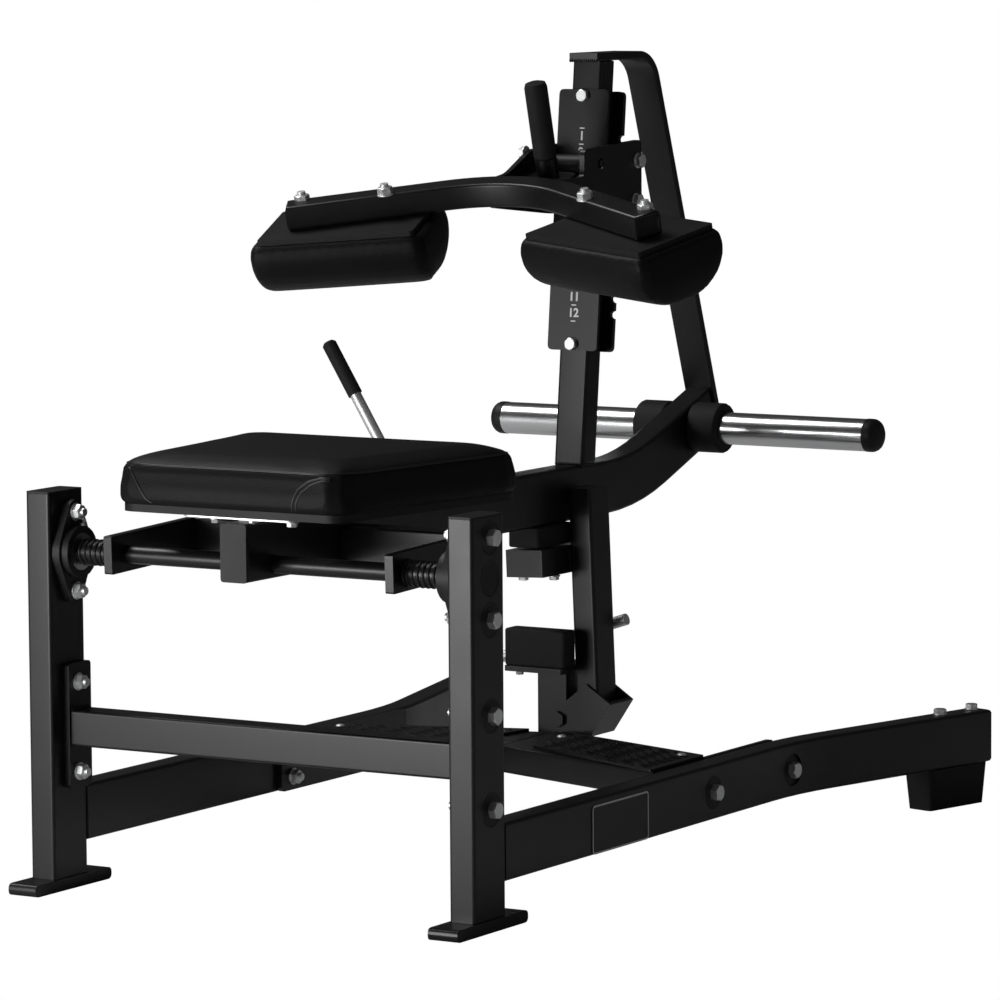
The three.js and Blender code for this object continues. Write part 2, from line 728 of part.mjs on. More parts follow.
function makeBeamFittings() {
  const stop = rectangle(-armBumper.width / 2, armBumper.rearY, armBumper.width / 2, armBumper.frontY,
    tube.corner);
  const sweepRadius = Math.hypot(catchBlock.topZ, catchBlock.width - catchPost.leftX + seat);
  const stopZ = catchPivot.z + sweepRadius + running;
  const stopHeight = beam.bottomZ - seat - stopZ;
  piece(arm, 'arm_bumper', upwards(stop, stopZ, stopHeight, armBumper.edge), blackRubber);

  piece(arm, 'weight_horn', roundBarX(-horn.half, horn.half, horn.y, hornZ, horn.radius), chrome);
  const dome = [[0, 0]];
  const straight = horn.capLength / 3;
  dome.push([0, horn.capRadius]);
  for (let i = 0; i <= domeSteps; i += 1) {
    const angle = (i / domeSteps) * (Math.PI / 2);
    dome.push([
      straight + Math.sin(angle) * (horn.capLength - straight),
      i === domeSteps ? 0 : Math.cos(angle) ** domeFullness * horn.capRadius,
    ]);
  }
  pair(arm, 'horn_cap', turnedX(dome, horn.half + seat, horn.y, hornZ), blackPlastic);
  const edge = hornBumper.edge;
  const bore = horn.radius + seat;
  const rubber = turnedX([
    [0, bore],
    [0, hornBumper.radius - edge],
    [edge / 3, hornBumper.radius - edge / 3],
    [edge, hornBumper.radius],
    [hornBumper.width - edge, hornBumper.radius],
    [hornBumper.width - edge / 3, hornBumper.radius - edge / 3],
    [hornBumper.width, hornBumper.radius - edge],
    [hornBumper.width, bore],
    [0, bore],
  ], beam.width / 2 + seat, horn.y, hornZ);
  pair(arm, 'horn_bumper', rubber, blackRubber);
}

// Mast, number plate, notch plate and strap

const mastFrame = new THREE.Group();
mastFrame.position.set(0, mast.footY, beamTop + seat);
mastFrame.rotation.x = -radians(mast.lean);
mastFrame.updateMatrix();
arm.add(mastFrame);

// Distance up the mast's rear face of a height above the floor
function upMast(z) {
  return (z - beamTop - seat) / Math.cos(radians(mast.lean));
}

function notchedOutline() {
  const half = numberPlate.width / 2;
  const bottom = upMast(numberPlate.bottomZ);
  const top = upMast(numberPlate.topZ);
  const shape = new THREE.Shape();
  const corner = numberPlate.corner;
  const radius = notchPlate.notchRadius;
  const heights = Array.from({ length: notchPlate.count }, (_, i) => upMast(notchPlate.firstZ)
    + i * notchPlate.pitch);
  shape.moveTo(-half + corner, bottom);
  shape.lineTo(half - corner, bottom);
  shape.quadraticCurveTo(half, bottom, half, bottom + corner);
  heights.forEach((height) => {
    shape.lineTo(half, height - radius);
    shape.absarc(half, height, radius, -Math.PI / 2, Math.PI / 2, true);
  });
  shape.lineTo(half, top - corner);
  shape.quadraticCurveTo(half, top, half - corner, top);
  shape.lineTo(-half + corner, top);
  shape.quadraticCurveTo(-half, top, -half, top - corner);
  heights.reverse().forEach((height) => {
    shape.lineTo(-half, height + radius);
    shape.absarc(-half, height, radius, Math.PI / 2, (3 * Math.PI) / 2, true);
  });
  shape.lineTo(-half, bottom + corner);
  shape.quadraticCurveTo(-half, bottom, -half + corner, bottom);
  return shape;
}

function makeMast() {
  const lean = Math.tan(radians(mast.lean));
  const run = mast.depth / Math.cos(radians(mast.lean));
  const rise = mast.topZ - beamTop - seat;
  const profile = new THREE.Shape([
    new THREE.Vector2(mast.footY, beamTop + seat),
    new THREE.Vector2(mast.footY + run, beamTop + seat),
    new THREE.Vector2(mast.footY + run + rise * lean, mast.topZ),
    new THREE.Vector2(mast.footY + rise * lean, mast.topZ),
  ]);
  piece(arm, 'mast', across(profile, -mast.width / 2, mast.width / 2, mast.corner), blackPaint);

  const half = numberPlate.width / 2;
  const plain = rectangle(-half, upMast(numberPlate.bottomZ), half, upMast(numberPlate.topZ),
    numberPlate.corner);
  piece(mastFrame, 'number_plate', fore(plain, -seat - numberPlate.thickness, -seat), plateFace);
  const notchRear = mast.depth + seat;
  piece(mastFrame, 'notch_plate', fore(notchedOutline(), notchRear, notchRear + notchPlate.thickness),
    blackPaint);

  const topZ = mast.topZ + seat + strap.thickness / 2;
  const beamEnd = beamRun().point;
  const slope = radians(beam.sweep);
  const along = seat + strap.thickness / 2;
  const foot = new THREE.Vector2(beamEnd.x + Math.cos(slope) * along, beamEnd.y + Math.sin(slope) * along);
  const legLength = (topZ - foot.y) / Math.cos(slope);
  const cornerY = foot.x - (topZ - foot.y) * Math.tan(slope);
  const turn = 90 - beam.sweep;
  const tangent = strap.bendRadius * Math.tan(radians(turn / 2));
  const outline = new BentRun(strap.rearY, topZ, 0)
    .straight(cornerY - tangent - strap.rearY)
    .bend(-turn, strap.bendRadius)
    .straight(legLength - tangent + strap.lowerReach)
    .outline(strap.thickness);
  piece(arm, 'mast_strap', across(outline, -strap.width / 2, strap.width / 2, strap.corner), blackPaint);
}

// Pad carriage

const padPlane = new THREE.Group();
padPlane.position.set(0, yoke.rearY, yoke.topZ);
padPlane.rotation.x = radians(yoke.tilt);
padPlane.updateMatrix();
const carriageMast = new THREE.Group();
carriageMast.position.copy(mastFrame.position);
carriageMast.rotation.copy(mastFrame.rotation);
carriageGroup.add(padPlane, carriageMast);

const plateInner = numberPlate.width / 2 + carriage.plateGap;
const plateOuter = plateInner + carriage.plateThickness;

// The yoke in the plane of the pads, its top face at zero height
function yokeTube(gap) {
  const sweep = radians(yoke.sweep);
  const arcHalf = yoke.bendRadius * Math.sin(sweep);
  const armRun = (yoke.half - arcHalf) / Math.cos(sweep);
  const apexY = yoke.width / 2;
  const endY = apexY - yoke.bendRadius * (1 - Math.cos(sweep)) - armRun * Math.sin(sweep);
  const outline = new BentRun(-yoke.half, endY, yoke.sweep)
    .straight(armRun)
    .bend(-2 * yoke.sweep, yoke.bendRadius)
    .straight(armRun)
    .outline(yoke.width + 2 * gap);
  return upwards(outline, -yoke.height - gap, yoke.height + 2 * gap, yoke.corner);
}

// A carriage plate on the right, with the given points behind its top edge
function carriagePlate(rearPoints) {
  const outline = roundedPolygon([
    [carriage.tailReach, -carriage.tailDrop],
    [carriage.bellyReach, -carriage.frontDrop],
    [carriage.frontReach, -carriage.frontDrop],
    [carriage.frontReach, carriage.frontRise],
    ...rearPoints,
    [carriage.tailReach, carriage.tailRise],
  ].map(([reach, rise]) => [yoke.rearY + reach, yoke.topZ + rise]), carriage.corner);
  const hole = roundBarX(plateInner - overrun, plateOuter + overrun, yoke.rearY + stopHole.reach,
    yoke.topZ + stopHole.rise, stopHole.radius);
  const yokeSpace = yokeTube(seat).applyMatrix4(padPlane.matrix);
  return cut(across(outline, plateInner, plateOuter), yokeSpace, hole);
}

function makeCarriage() {
  const right = carriagePlate([
    [carriage.rearReach, carriage.rearRise],
    [carriage.rearReach, carriage.tailRise],
  ]);
  const left = carriagePlate([
    [gusset.topReach, gusset.topRise],
    [gusset.reach, gusset.rise],
  ]);
  piece(carriageGroup, 'carriage_plate_right', right, blackPaint);
  piece(carriageGroup, 'carriage_plate_left', mirrorX(left), blackPaint);

  const between = plateInner - seat;
  const keelRear = gripPost.y - keel.thickness / 2;
  const keelPlate = upwards(
    rectangle(-between, keelRear, between, keelRear + keel.thickness, seat),
    -keel.bottomDrop,
    keel.bottomDrop - deck.drop - deck.thickness / 2,
  );
  const deckPlate = upwards(
    rectangle(-between, yoke.width / 2, between, gripPost.y + gripPost.collarRadius, deck.corner),
    -deck.drop - deck.thickness,
    deck.thickness,
  );
  piece(padPlane, 'pad_yoke', join(yokeTube(0), deckPlate, keelPlate), blackPaint);
  const postBottom = -deck.drop + seat;
  piece(padPlane, 'grip_post', join(
    roundBar(new THREE.Vector3(0, gripPost.y, postBottom),
      new THREE.Vector3(0, gripPost.y, handGrip.bottomZ + handGrip.length - handGrip.radius),
      gripPost.radius),
    roundBar(new THREE.Vector3(0, gripPost.y, postBottom),
      new THREE.Vector3(0, gripPost.y, handGrip.bottomZ - seat),
      gripPost.collarRadius),
  ), blackPaint);
  const bore = gripPost.radius + seat;
  const edge = handGrip.edge;
  const grip = new THREE.LatheGeometry([
    [bore, 0],
    [handGrip.radius - edge / 2, 0],
    [handGrip.radius, edge],
    [handGrip.radius, handGrip.length - edge * 2],
    [handGrip.radius - edge / 2, handGrip.length - edge / 2],
    [handGrip.radius - edge * 2, handGrip.length],
    [0, handGrip.length],
    [0, handGrip.length - handGrip.radius + seat],
    [bore, handGrip.length - handGrip.radius + seat],
    [bore, 0],
  ].map(([radius, along]) => new THREE.Vector2(radius, along)), roundSides);
  grip.rotateX(Math.PI / 2).translate(0, gripPost.y, handGrip.bottomZ);
  piece(padPlane, 'hand_grip', grip, blackRubber);
}

function makeGuides() {
  const reach = plateInner - seat;
  const rollerFrontY = mast.depth + seat + notchPlate.thickness + running + guideRoller.radius;
  const rollerRearY = -seat - numberPlate.thickness - running - rearRoller.radius;
  const frontRoller = (height) => join(
    roundBarX(-reach, reach, rollerFrontY, height, guideRoller.pinRadius),
    roundBarX(-guideRoller.half, guideRoller.half, rollerFrontY, height, guideRoller.radius),
  );
  const upper = frontRoller(upMast(yoke.topZ + guideRoller.upperRise));
  const lower = frontRoller(upMast(yoke.topZ - guideRoller.lowerDrop));
  piece(carriageMast, 'guide_pin_upper', upper, zinc);
  piece(carriageMast, 'guide_pin_lower', lower, zinc);
  const rollerZ = upMast(yoke.topZ + rearRoller.rise);
  piece(carriageMast, 'rear_roller', roundBarX(-reach, reach, rollerRearY, rollerZ,
    rearRoller.radius), blackPlastic);
}

function makePads() {
  const yaw = -radians(padBoard.yaw);
  const boardTop = -yoke.height - seat;
  const halfLength = padBoard.length / 2;
  const halfDepth = padBoard.depth / 2;
  const board = upwards(rectangle(-halfLength, -halfDepth, halfLength, halfDepth, padBoard.corner),
    boardTop - padBoard.thickness, padBoard.thickness);
  board.rotateZ(yaw).translate(padBoard.middleX, padBoard.middleY, 0);
  pair(padPlane, 'pad_board', board, plywood);

  const padHalfLength = thighPad.length / 2;
  const padHalfDepth = thighPad.depth / 2;
  const shape = rectangle(-padHalfLength, -padHalfDepth, padHalfLength, padHalfDepth, thighPad.corner);
  const rings = Array.from({ length: thighPadRings }, (_, i) => {
    const angle = ((i + 1) / (thighPadRings + 1)) * (Math.PI / 2);
    return {
      inset: thighPad.corner * (1 - Math.cos(angle)),
      insetY: padHalfDepth * (1 - Math.cos(angle) ** roundness),
      heightShare: thighPad.flankShare + (1 - thighPad.flankShare) * Math.sin(angle),
    };
  });
  const drawnIn = (thighPad.depth - padBoard.depth) / 2;
  const pad = padded(shape, thighPad.height, thighPadSteps, [
    { inset: drawnIn, heightShare: 0 },
    { inset: drawnIn / 4, heightShare: thighPad.flankShare / 3 },
    { inset: 0, heightShare: thighPad.flankShare },
    ...rings,
  ]);
  pad.rotateX(Math.PI).rotateZ(yaw);
  pad.translate(padBoard.middleX, padBoard.middleY, boardTop - padBoard.thickness - seat);
  pair(padPlane, 'thigh_pad', pad, blackVinyl);
}

// Catch

const catchFrame = new THREE.Group();
catchFrame.position.set(catchPivot.x, 0, catchPivot.z);
catchFrame.rotation.y = -radians(catchPivot.lean);
machine.add(catchFrame);

function catchFootOutlines() {
  const slope = radians(catchFoot.slope);
  const up = new THREE.Vector2(Math.sin(slope), Math.cos(slope));
  const right = new THREE.Vector2(Math.cos(slope), -Math.sin(slope));
  const head = new THREE.Vector2(catchFoot.headX, catchFoot.headZ);
  const headRight = head.clone().addScaledVector(right, catchFoot.width / 2);
  const headLeft = head.clone().addScaledVector(right, -catchFoot.width / 2);
  const lowerRight = headRight.clone().addScaledVector(up, -catchFoot.width * catchFoot.wallShare);
  const shape = new THREE.Shape();
  const start = Math.PI - slope;
  shape.moveTo(headRight.x, headRight.y);
  shape.lineTo(headLeft.x, headLeft.y);
  shape.absarc(0, 0, catchFoot.pivotRadius, start, (3 * Math.PI) / 2);
  shape.lineTo(lowerRight.x, lowerRight.y);
  shape.closePath();
  const wall = new THREE.Shape([
    headRight,
    headRight.clone().addScaledVector(right, -catchFoot.thickness),
    lowerRight.clone().addScaledVector(right, -catchFoot.thickness),
    lowerRight,
  ]);
  return { shape, wall };
}

function makeCatch() {
  const postFront = catchPost.rearY + catchPost.depth;
  const section = rectangle(catchPost.leftX, catchPost.rearY, catchPost.leftX + catchPost.width, postFront,
    catchPost.corner);
  piece(catchFrame, 'catch_post', upwards(section, catchPost.bottomZ, catchPost.topZ - catchPost.bottomZ),
    blackPaint);

  const { shape, wall } = catchFootOutlines();
  const rearWall = fore(shape, pinRear, pinRear + catchFoot.thickness);
  const frontWall = fore(shape, pinFront - catchFoot.thickness, pinFront);
  const web = fore(wall, pinRear, pinFront);
  const bore = roundBarY(pinRear - overrun, pinFront + overrun, 0, 0, catchPivot.pinRadius + running);
  piece(catchFrame, 'catch_foot', cut(join(rearWall, frontWall, web), bore), blackPaint);

  const blockRight = catchPost.leftX - seat;
  const block = rectangle(blockRight - catchBlock.width, catchBlock.rearY, blockRight, catchBlock.frontY,
    catchBlock.corner);
  piece(catchFrame, 'catch_block', upwards(block, catchBlock.topZ - catchBlock.height, catchBlock.height),
    blackPaint);

  const rodY = postFront + seat + lever.radius;
  const stub = new THREE.Vector2(lever.stubX, lever.stubZ);
  const bend = new THREE.Vector2(lever.bendX, lever.bendZ);
  const grip = new THREE.Vector2(lever.gripX, lever.gripZ);
  const lowerDirection = stub.clone().sub(bend).normalize();
  const upperDirection = grip.clone().sub(bend).normalize();
  const turn = Math.PI - lowerDirection.angleTo(upperDirection);
  const tangent = lever.bendRadius * Math.tan(turn / 2);
  const lowerEnd = bend.clone().addScaledVector(lowerDirection, tangent);
  const upperEnd = bend.clone().addScaledVector(upperDirection, tangent);
  const place = (point) => new THREE.Vector3(point.x, rodY, point.y);
  const route = new THREE.CurvePath();
  route.add(new THREE.LineCurve3(place(stub), place(lowerEnd)));
  route.add(new THREE.QuadraticBezierCurve3(place(lowerEnd), place(bend), place(upperEnd)));
  const rodEnd = grip.clone().addScaledVector(upperDirection, leverGrip.overlap);
  route.add(new THREE.LineCurve3(place(upperEnd), place(rodEnd)));
  const round = disc(0, 0, lever.radius);
  const rod = new THREE.ExtrudeGeometry(round, {
    steps: lever.steps,
    bevelEnabled: false,
    curveSegments: lever.halfSides,
    extrudePath: route,
  });
  piece(catchFrame, 'catch_lever', rod, zinc);

  const edge = leverGrip.radius / 3;
  const sleeveBore = lever.radius + seat;
  const sleeve = new THREE.LatheGeometry([
    [sleeveBore, 0],
    [leverGrip.radius, 0],
    [leverGrip.radius, leverGrip.length - edge],
    [leverGrip.radius - edge, leverGrip.length],
    [0, leverGrip.length],
    [0, leverGrip.overlap + seat],
    [sleeveBore, leverGrip.overlap + seat],
    [sleeveBore, 0],
  ].map(([radius, along]) => new THREE.Vector2(radius, along)), roundSides);
  const direction = new THREE.Vector3(upperDirection.x, 0, upperDirection.y);
  sleeve.applyQuaternion(new THREE.Quaternion().setFromUnitVectors(yAxis, direction));
  piece(catchFrame, 'lever_grip', sleeve.translate(grip.x, rodY, grip.y), blackRubber);
}

makeUprights();
makeCrossbar();
makeRails();
makeFootrest();
makeStopColumn();
makeBearings();
makeBeam();
makeSeat();
makeBeamFittings();
makeMast();
makeCarriage();
makeGuides();
makePads();
makeCatch();

// The origin is the middle of the machine's box, on the floor
machine.updateMatrixWorld(true);
const bounds = new THREE.Box3().setFromObject(machine, true);
const centre = bounds.getCenter(new THREE.Vector3());
machine.position.set(-centre.x, -centre.y, -bounds.min.z);

export default machine;
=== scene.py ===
"""Dress the seated calf raise machine for its portrait.

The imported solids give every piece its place. This script smooths their edges, gives each one a finish,
simulates the upholstery, and adds what is too fine for the solids: bolts, nuts, screws, tube plugs, weld
beads, tread lozenges, height numerals and the bare plate on the right rail.
"""

import json
import logging
import math
from collections.abc import Callable, Iterator
from contextlib import contextmanager
from dataclasses import dataclass
from enum import Enum

import bpy
from bpy.types import Material, Node, NodeTree, Object
from mathutils import Euler, Matrix, Vector
from mathutils.bvhtree import BVHTree


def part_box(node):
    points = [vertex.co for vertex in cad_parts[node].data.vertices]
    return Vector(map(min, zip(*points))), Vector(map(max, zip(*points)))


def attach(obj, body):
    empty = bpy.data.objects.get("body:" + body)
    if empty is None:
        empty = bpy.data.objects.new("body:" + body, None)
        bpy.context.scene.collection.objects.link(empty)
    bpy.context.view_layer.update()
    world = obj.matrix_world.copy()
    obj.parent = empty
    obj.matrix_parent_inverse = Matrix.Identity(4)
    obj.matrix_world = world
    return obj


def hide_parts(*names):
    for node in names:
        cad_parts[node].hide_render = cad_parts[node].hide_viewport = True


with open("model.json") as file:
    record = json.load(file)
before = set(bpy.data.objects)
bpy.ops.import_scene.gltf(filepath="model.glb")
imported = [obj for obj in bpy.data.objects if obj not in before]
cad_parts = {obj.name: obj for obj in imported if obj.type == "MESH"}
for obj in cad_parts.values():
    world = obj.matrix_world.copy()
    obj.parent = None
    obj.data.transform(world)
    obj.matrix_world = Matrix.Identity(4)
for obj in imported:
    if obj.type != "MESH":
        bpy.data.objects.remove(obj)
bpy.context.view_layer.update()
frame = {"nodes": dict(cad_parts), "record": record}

MM = 0.001
REAR_FACE_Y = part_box("upright_right")[0][1]
WELD_DISTANCE = 0.01 * MM
FLAT_DEGREES = 0.2
FACING_SHARE = 0.9
WHITE = (1.0, 1.0, 1.0, 1.0)
NODE_BODY = {node: body for body, nodes in frame["record"]["behaviour"]["bodies"].items() for node in nodes}
YOKE_TILT = math.radians(14.5)
YOKE_UP = Vector((0, -math.sin(YOKE_TILT), math.cos(YOKE_TILT)))
UP = Vector((0, 0, 1))
DOWN = Vector((0, 0, -1))
INWARD = Vector((-1, 0, 0))
OUTWARD = Vector((1, 0, 0))
TREAD_TOP_Z = 146.3
TREAD_SCREWS = ((52.0, 752.0), (292.0, 685.0))

log = logging.getLogger("calf_raise")


class Side(Enum):
    """The two sides of the machine, with the sign of X on each."""

    RIGHT = 1
    LEFT = -1


SIDE_NAMES = {Side.RIGHT: "right", Side.LEFT: "left"}


def spot(x: float, y: float, z: float) -> Vector:
    """Turn a place in millimetres, with Y counted from the uprights' rear face, into frame metres.

    Args:
        x: Millimetres to the right of the middle.
        y: Millimetres forward of the uprights' rear face.
        z: Millimetres above the floor.

    Returns:
        The place in metres in the frame.
    """
    return Vector((x * MM, REAR_FACE_Y + y * MM, z * MM))


def middle_of(node: str) -> Vector:
    """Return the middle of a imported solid's box, in frame metres."""
    low, high = (Vector(corner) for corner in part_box(node))
    return (low + high) / 2


@dataclass(frozen=True)
class MastFace:
    """The mast's leaning rear face, in millimetres."""

    foot_y: float = 862.8
    foot_z: float = 535.3
    lean: float = math.radians(5.94)

    def rearwards(self) -> Vector:
        """Return the way the face looks."""
        return Vector((0, -math.cos(self.lean), math.sin(self.lean)))

    def place(self, z: float, above: float) -> Vector:
        """Return a place on the face's middle line.

        Args:
            z: Its height above the floor.
            above: How far it stands off the face.
        """
        y = self.foot_y + (z - self.foot_z) * math.tan(self.lean)
        return spot(0, y, z) + self.rearwards() * above * MM


MAST_FACE = MastFace()


def select_only(obj: Object) -> None:
    """Deselect everything, then select one object and make it active."""
    bpy.ops.object.select_all(action="DESELECT")
    obj.select_set(True)
    bpy.context.view_layer.objects.active = obj


def apply_modifier(obj: Object, name: str) -> None:
    """Apply one modifier of an object."""
    select_only(obj)
    bpy.ops.object.modifier_apply(modifier=name)


@contextmanager
def editing() -> Iterator[None]:
    """Work on the active object in edit mode."""
    bpy.ops.object.mode_set(mode="EDIT")
    yield
    bpy.ops.object.mode_set(mode="OBJECT")


def primitive(shape: str, **settings) -> Object:
    """Add a mesh primitive with nothing else selected.

    Args:
        shape: The operator's word for it, such as cube or cylinder.
        settings: The operator's own settings.

    Returns:
        The new object.
    """
    bpy.ops.object.select_all(action="DESELECT")
    getattr(bpy.ops.mesh, f"primitive_{shape}_add")(**settings)
    return bpy.context.view_layer.objects.active


def inset(thickness: float, depth: float) -> None:
    """Inset the selected faces by a thickness and a depth in millimetres."""
    bpy.ops.mesh.inset(thickness=thickness * MM, depth=depth * MM)


def shade_round(obj: Object) -> None:
    """Shade a round or soft piece smooth all over."""
    select_only(obj)
    bpy.ops.object.shade_smooth()


def soften(obj: Object, degrees: float) -> None:
    """Shade an object smooth up to an angle, with its flat faces kept flat.

    Args:
        obj: The object to shade.
        degrees: Edges sharper than this stay sharp.
    """
    select_only(obj)
    bpy.ops.object.shade_smooth_by_angle(angle=math.radians(degrees))
    weighted = obj.modifiers.new("even_faces", "WEIGHTED_NORMAL")
    weighted.keep_sharp = True


def settle(obj: Object, matrix: Matrix) -> None:
    """Move a piece's mesh by a matrix, so that its object stays at the origin."""
    obj.data.transform(matrix)
    obj.data.update()


def copies_at(first: Object, name: str, matrices: list[Matrix]) -> list[Object]:
    """Copy a modelled piece to every place, then remove it.

    Args:
        first: The piece to copy.
        name: The copies' name.
        matrices: Where each copy goes.

    Returns:
        The copies.
    """
    copies = []
    for matrix in matrices:
        copy = bpy.data.objects.new(name, first.data.copy())
        bpy.context.scene.collection.objects.link(copy)
        settle(copy, matrix)
        copies.append(copy)
    bpy.data.objects.remove(first)
    return copies


def join(objects: list[Object], name: str) -> Object:
    """Join several pieces into one mesh.

    Args:
        objects: The pieces to join, at least one.
        name: The joined piece's name.

    Returns:
        The joined piece.
    """
    bpy.ops.object.select_all(action="DESELECT")
    for obj in objects:
        obj.select_set(True)
    bpy.context.view_layer.objects.active = objects[0]
    if len(objects) > 1:
        bpy.ops.object.join()
    joined = bpy.context.view_layer.objects.active
    joined.name = name
    joined.data.name = name
    return joined


def dress(obj: Object, material: Material, body: str) -> None:
    """Give a piece its only material and the body that it rides on."""
    obj.data.materials.clear()
    obj.data.materials.append(material)
    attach(obj, body)


def facing(direction: Vector, place: Vector) -> Matrix:
    """Return the matrix that stands a piece made along +Z at a place, along a direction."""
    return Matrix.Translation(place) @ direction.to_track_quat("Z", "Y").to_matrix().to_4x4()


def add_node(tree: NodeTree, kind: str, values: dict | None = None) -> Node:
    """Add a shader node and set its inputs by name.

    Args:
        tree: The node tree.
        kind: The node's type without its prefix.
        values: The inputs to set.

    Returns:
        The node.
    """
    node = tree.nodes.new(f"ShaderNode{kind}")
    for name, value in (values or {}).items():
        node.inputs[name].default_value = value
    return node


class Effects:
    """Node groups that the finishes share."""

    def __init__(self) -> None:
        """Build each group once."""
        self.grain = self._grain()
        self.hide = self._hide()

    @staticmethod
    def _new_group(name: str) -> tuple:
        """Start a node group with scale and depth inputs and mask and normal outputs.

        Args:
            name: The group's name.

        Returns:
            The group, its input node and its output node.
        """
        group = bpy.data.node_groups.new(name, "ShaderNodeTree")
        for label, way, kind in (("Scale", "INPUT", "Float"), ("Depth", "INPUT", "Float"),
                                 ("Mask", "OUTPUT", "Float"), ("Normal", "OUTPUT", "Vector")):
            group.interface.new_socket(label, in_out=way, socket_type=f"NodeSocket{kind}")
        return group, group.nodes.new("NodeGroupInput"), group.nodes.new("NodeGroupOutput")

    def _grain(self) -> NodeTree:
        """Build the fine orange peel of paint, rubber and plating, with broad soft clouds as its mask."""
        group, inputs, outputs = self._new_group("fine_grain")
        place = add_node(group, "TexCoord")
        fine = add_node(group, "TexNoise", {"Detail": 3.0})
        clouds = add_node(group, "TexNoise", {"Scale": 14.0, "Detail": 5.0})
        bump = add_node(group, "Bump", {"Strength": 1.0})
        link = group.links.new
        link(place.outputs["Object"], fine.inputs["Vector"])
        link(place.outputs["Object"], clouds.inputs["Vector"])
        link(inputs.outputs["Scale"], fine.inputs["Scale"])
        link(inputs.outputs["Depth"], bump.inputs["Distance"])
        link(fine.outputs["Fac"], bump.inputs["Height"])
        link(clouds.outputs["Fac"], outputs.inputs["Mask"])
        link(bump.outputs["Normal"], outputs.inputs["Normal"])
        return group

    def _hide(self) -> NodeTree:
        """Build the pebbled skin of vinyl upholstery, with its valleys as its mask."""
        group, inputs, outputs = self._new_group("vinyl_hide")
        place = add_node(group, "TexCoord")
        warp = add_node(group, "TexNoise", {"Scale": 160.0})
        drift = add_node(group, "MixRGB", {"Fac": 0.004})
        drift.blend_type = "ADD"
        pebbles = add_node(group, "TexVoronoi")
        pebbles.feature = "SMOOTH_F1"
        bump = add_node(group, "Bump", {"Strength": 1.0})
        bump.invert = True
        link = group.links.new
        link(place.outputs["Object"], warp.inputs["Vector"])
        link(place.outputs["Object"], drift.inputs["Color1"])
        link(warp.outputs["Color"], drift.inputs["Color2"])
        link(drift.outputs["Color"], pebbles.inputs["Vector"])
        link(inputs.outputs["Scale"], pebbles.inputs["Scale"])
        link(inputs.outputs["Depth"], bump.inputs["Distance"])
        link(pebbles.outputs["Distance"], bump.inputs["Height"])
        link(pebbles.outputs["Distance"], outputs.inputs["Mask"])
        link(bump.outputs["Normal"], outputs.inputs["Normal"])
        return group


@dataclass(frozen=True)
class Finish:
    """One surface finish and how it is written as a material."""

    name: str
    low: tuple[float, float, float]
    high: tuple[float, float, float]
    roughness: float
    swing: float = 0.06
    metallic: float = 0.0
    specular: float = 0.5
    scale: float = 900.0
    depth: float = 0.00004
    sheen: float = 0.0
    pebbled: bool = False

    def material(self, effects: Effects) -> Material:
        """Build the material.

        Args:
            effects: The shared node groups.

        Returns:
            The new material.
        """
        made = bpy.data.materials.new(self.name)
        made.use_nodes = True
        tree = made.node_tree
        shader = tree.nodes["Principled BSDF"]
        shader.inputs["Metallic"].default_value = self.metallic
        shader.inputs["Specular IOR Level"].default_value = self.specular
        shader.inputs["Sheen Weight"].default_value = self.sheen
        texture = tree.nodes.new("ShaderNodeGroup")
        texture.node_tree = effects.hide if self.pebbled else effects.grain
        texture.inputs["Scale"].default_value = self.scale
        texture.inputs["Depth"].default_value = self.depth
        tint = add_node(tree, "MixRGB", {"Color1": (*self.low, 1.0), "Color2": (*self.high, 1.0)})
        gloss = add_node(tree, "MapRange", {"To Min": self.roughness - self.swing,
                                            "To Max": self.roughness + self.swing})
        link = tree.links.new
        link(texture.outputs["Mask"], tint.inputs["Fac"])
        link(texture.outputs["Mask"], gloss.inputs["Value"])
        link(tint.outputs["Color"], shader.inputs["Base Color"])
        link(gloss.outputs["Result"], shader.inputs["Roughness"])
        link(texture.outputs["Normal"], shader.inputs["Normal"])
        return made


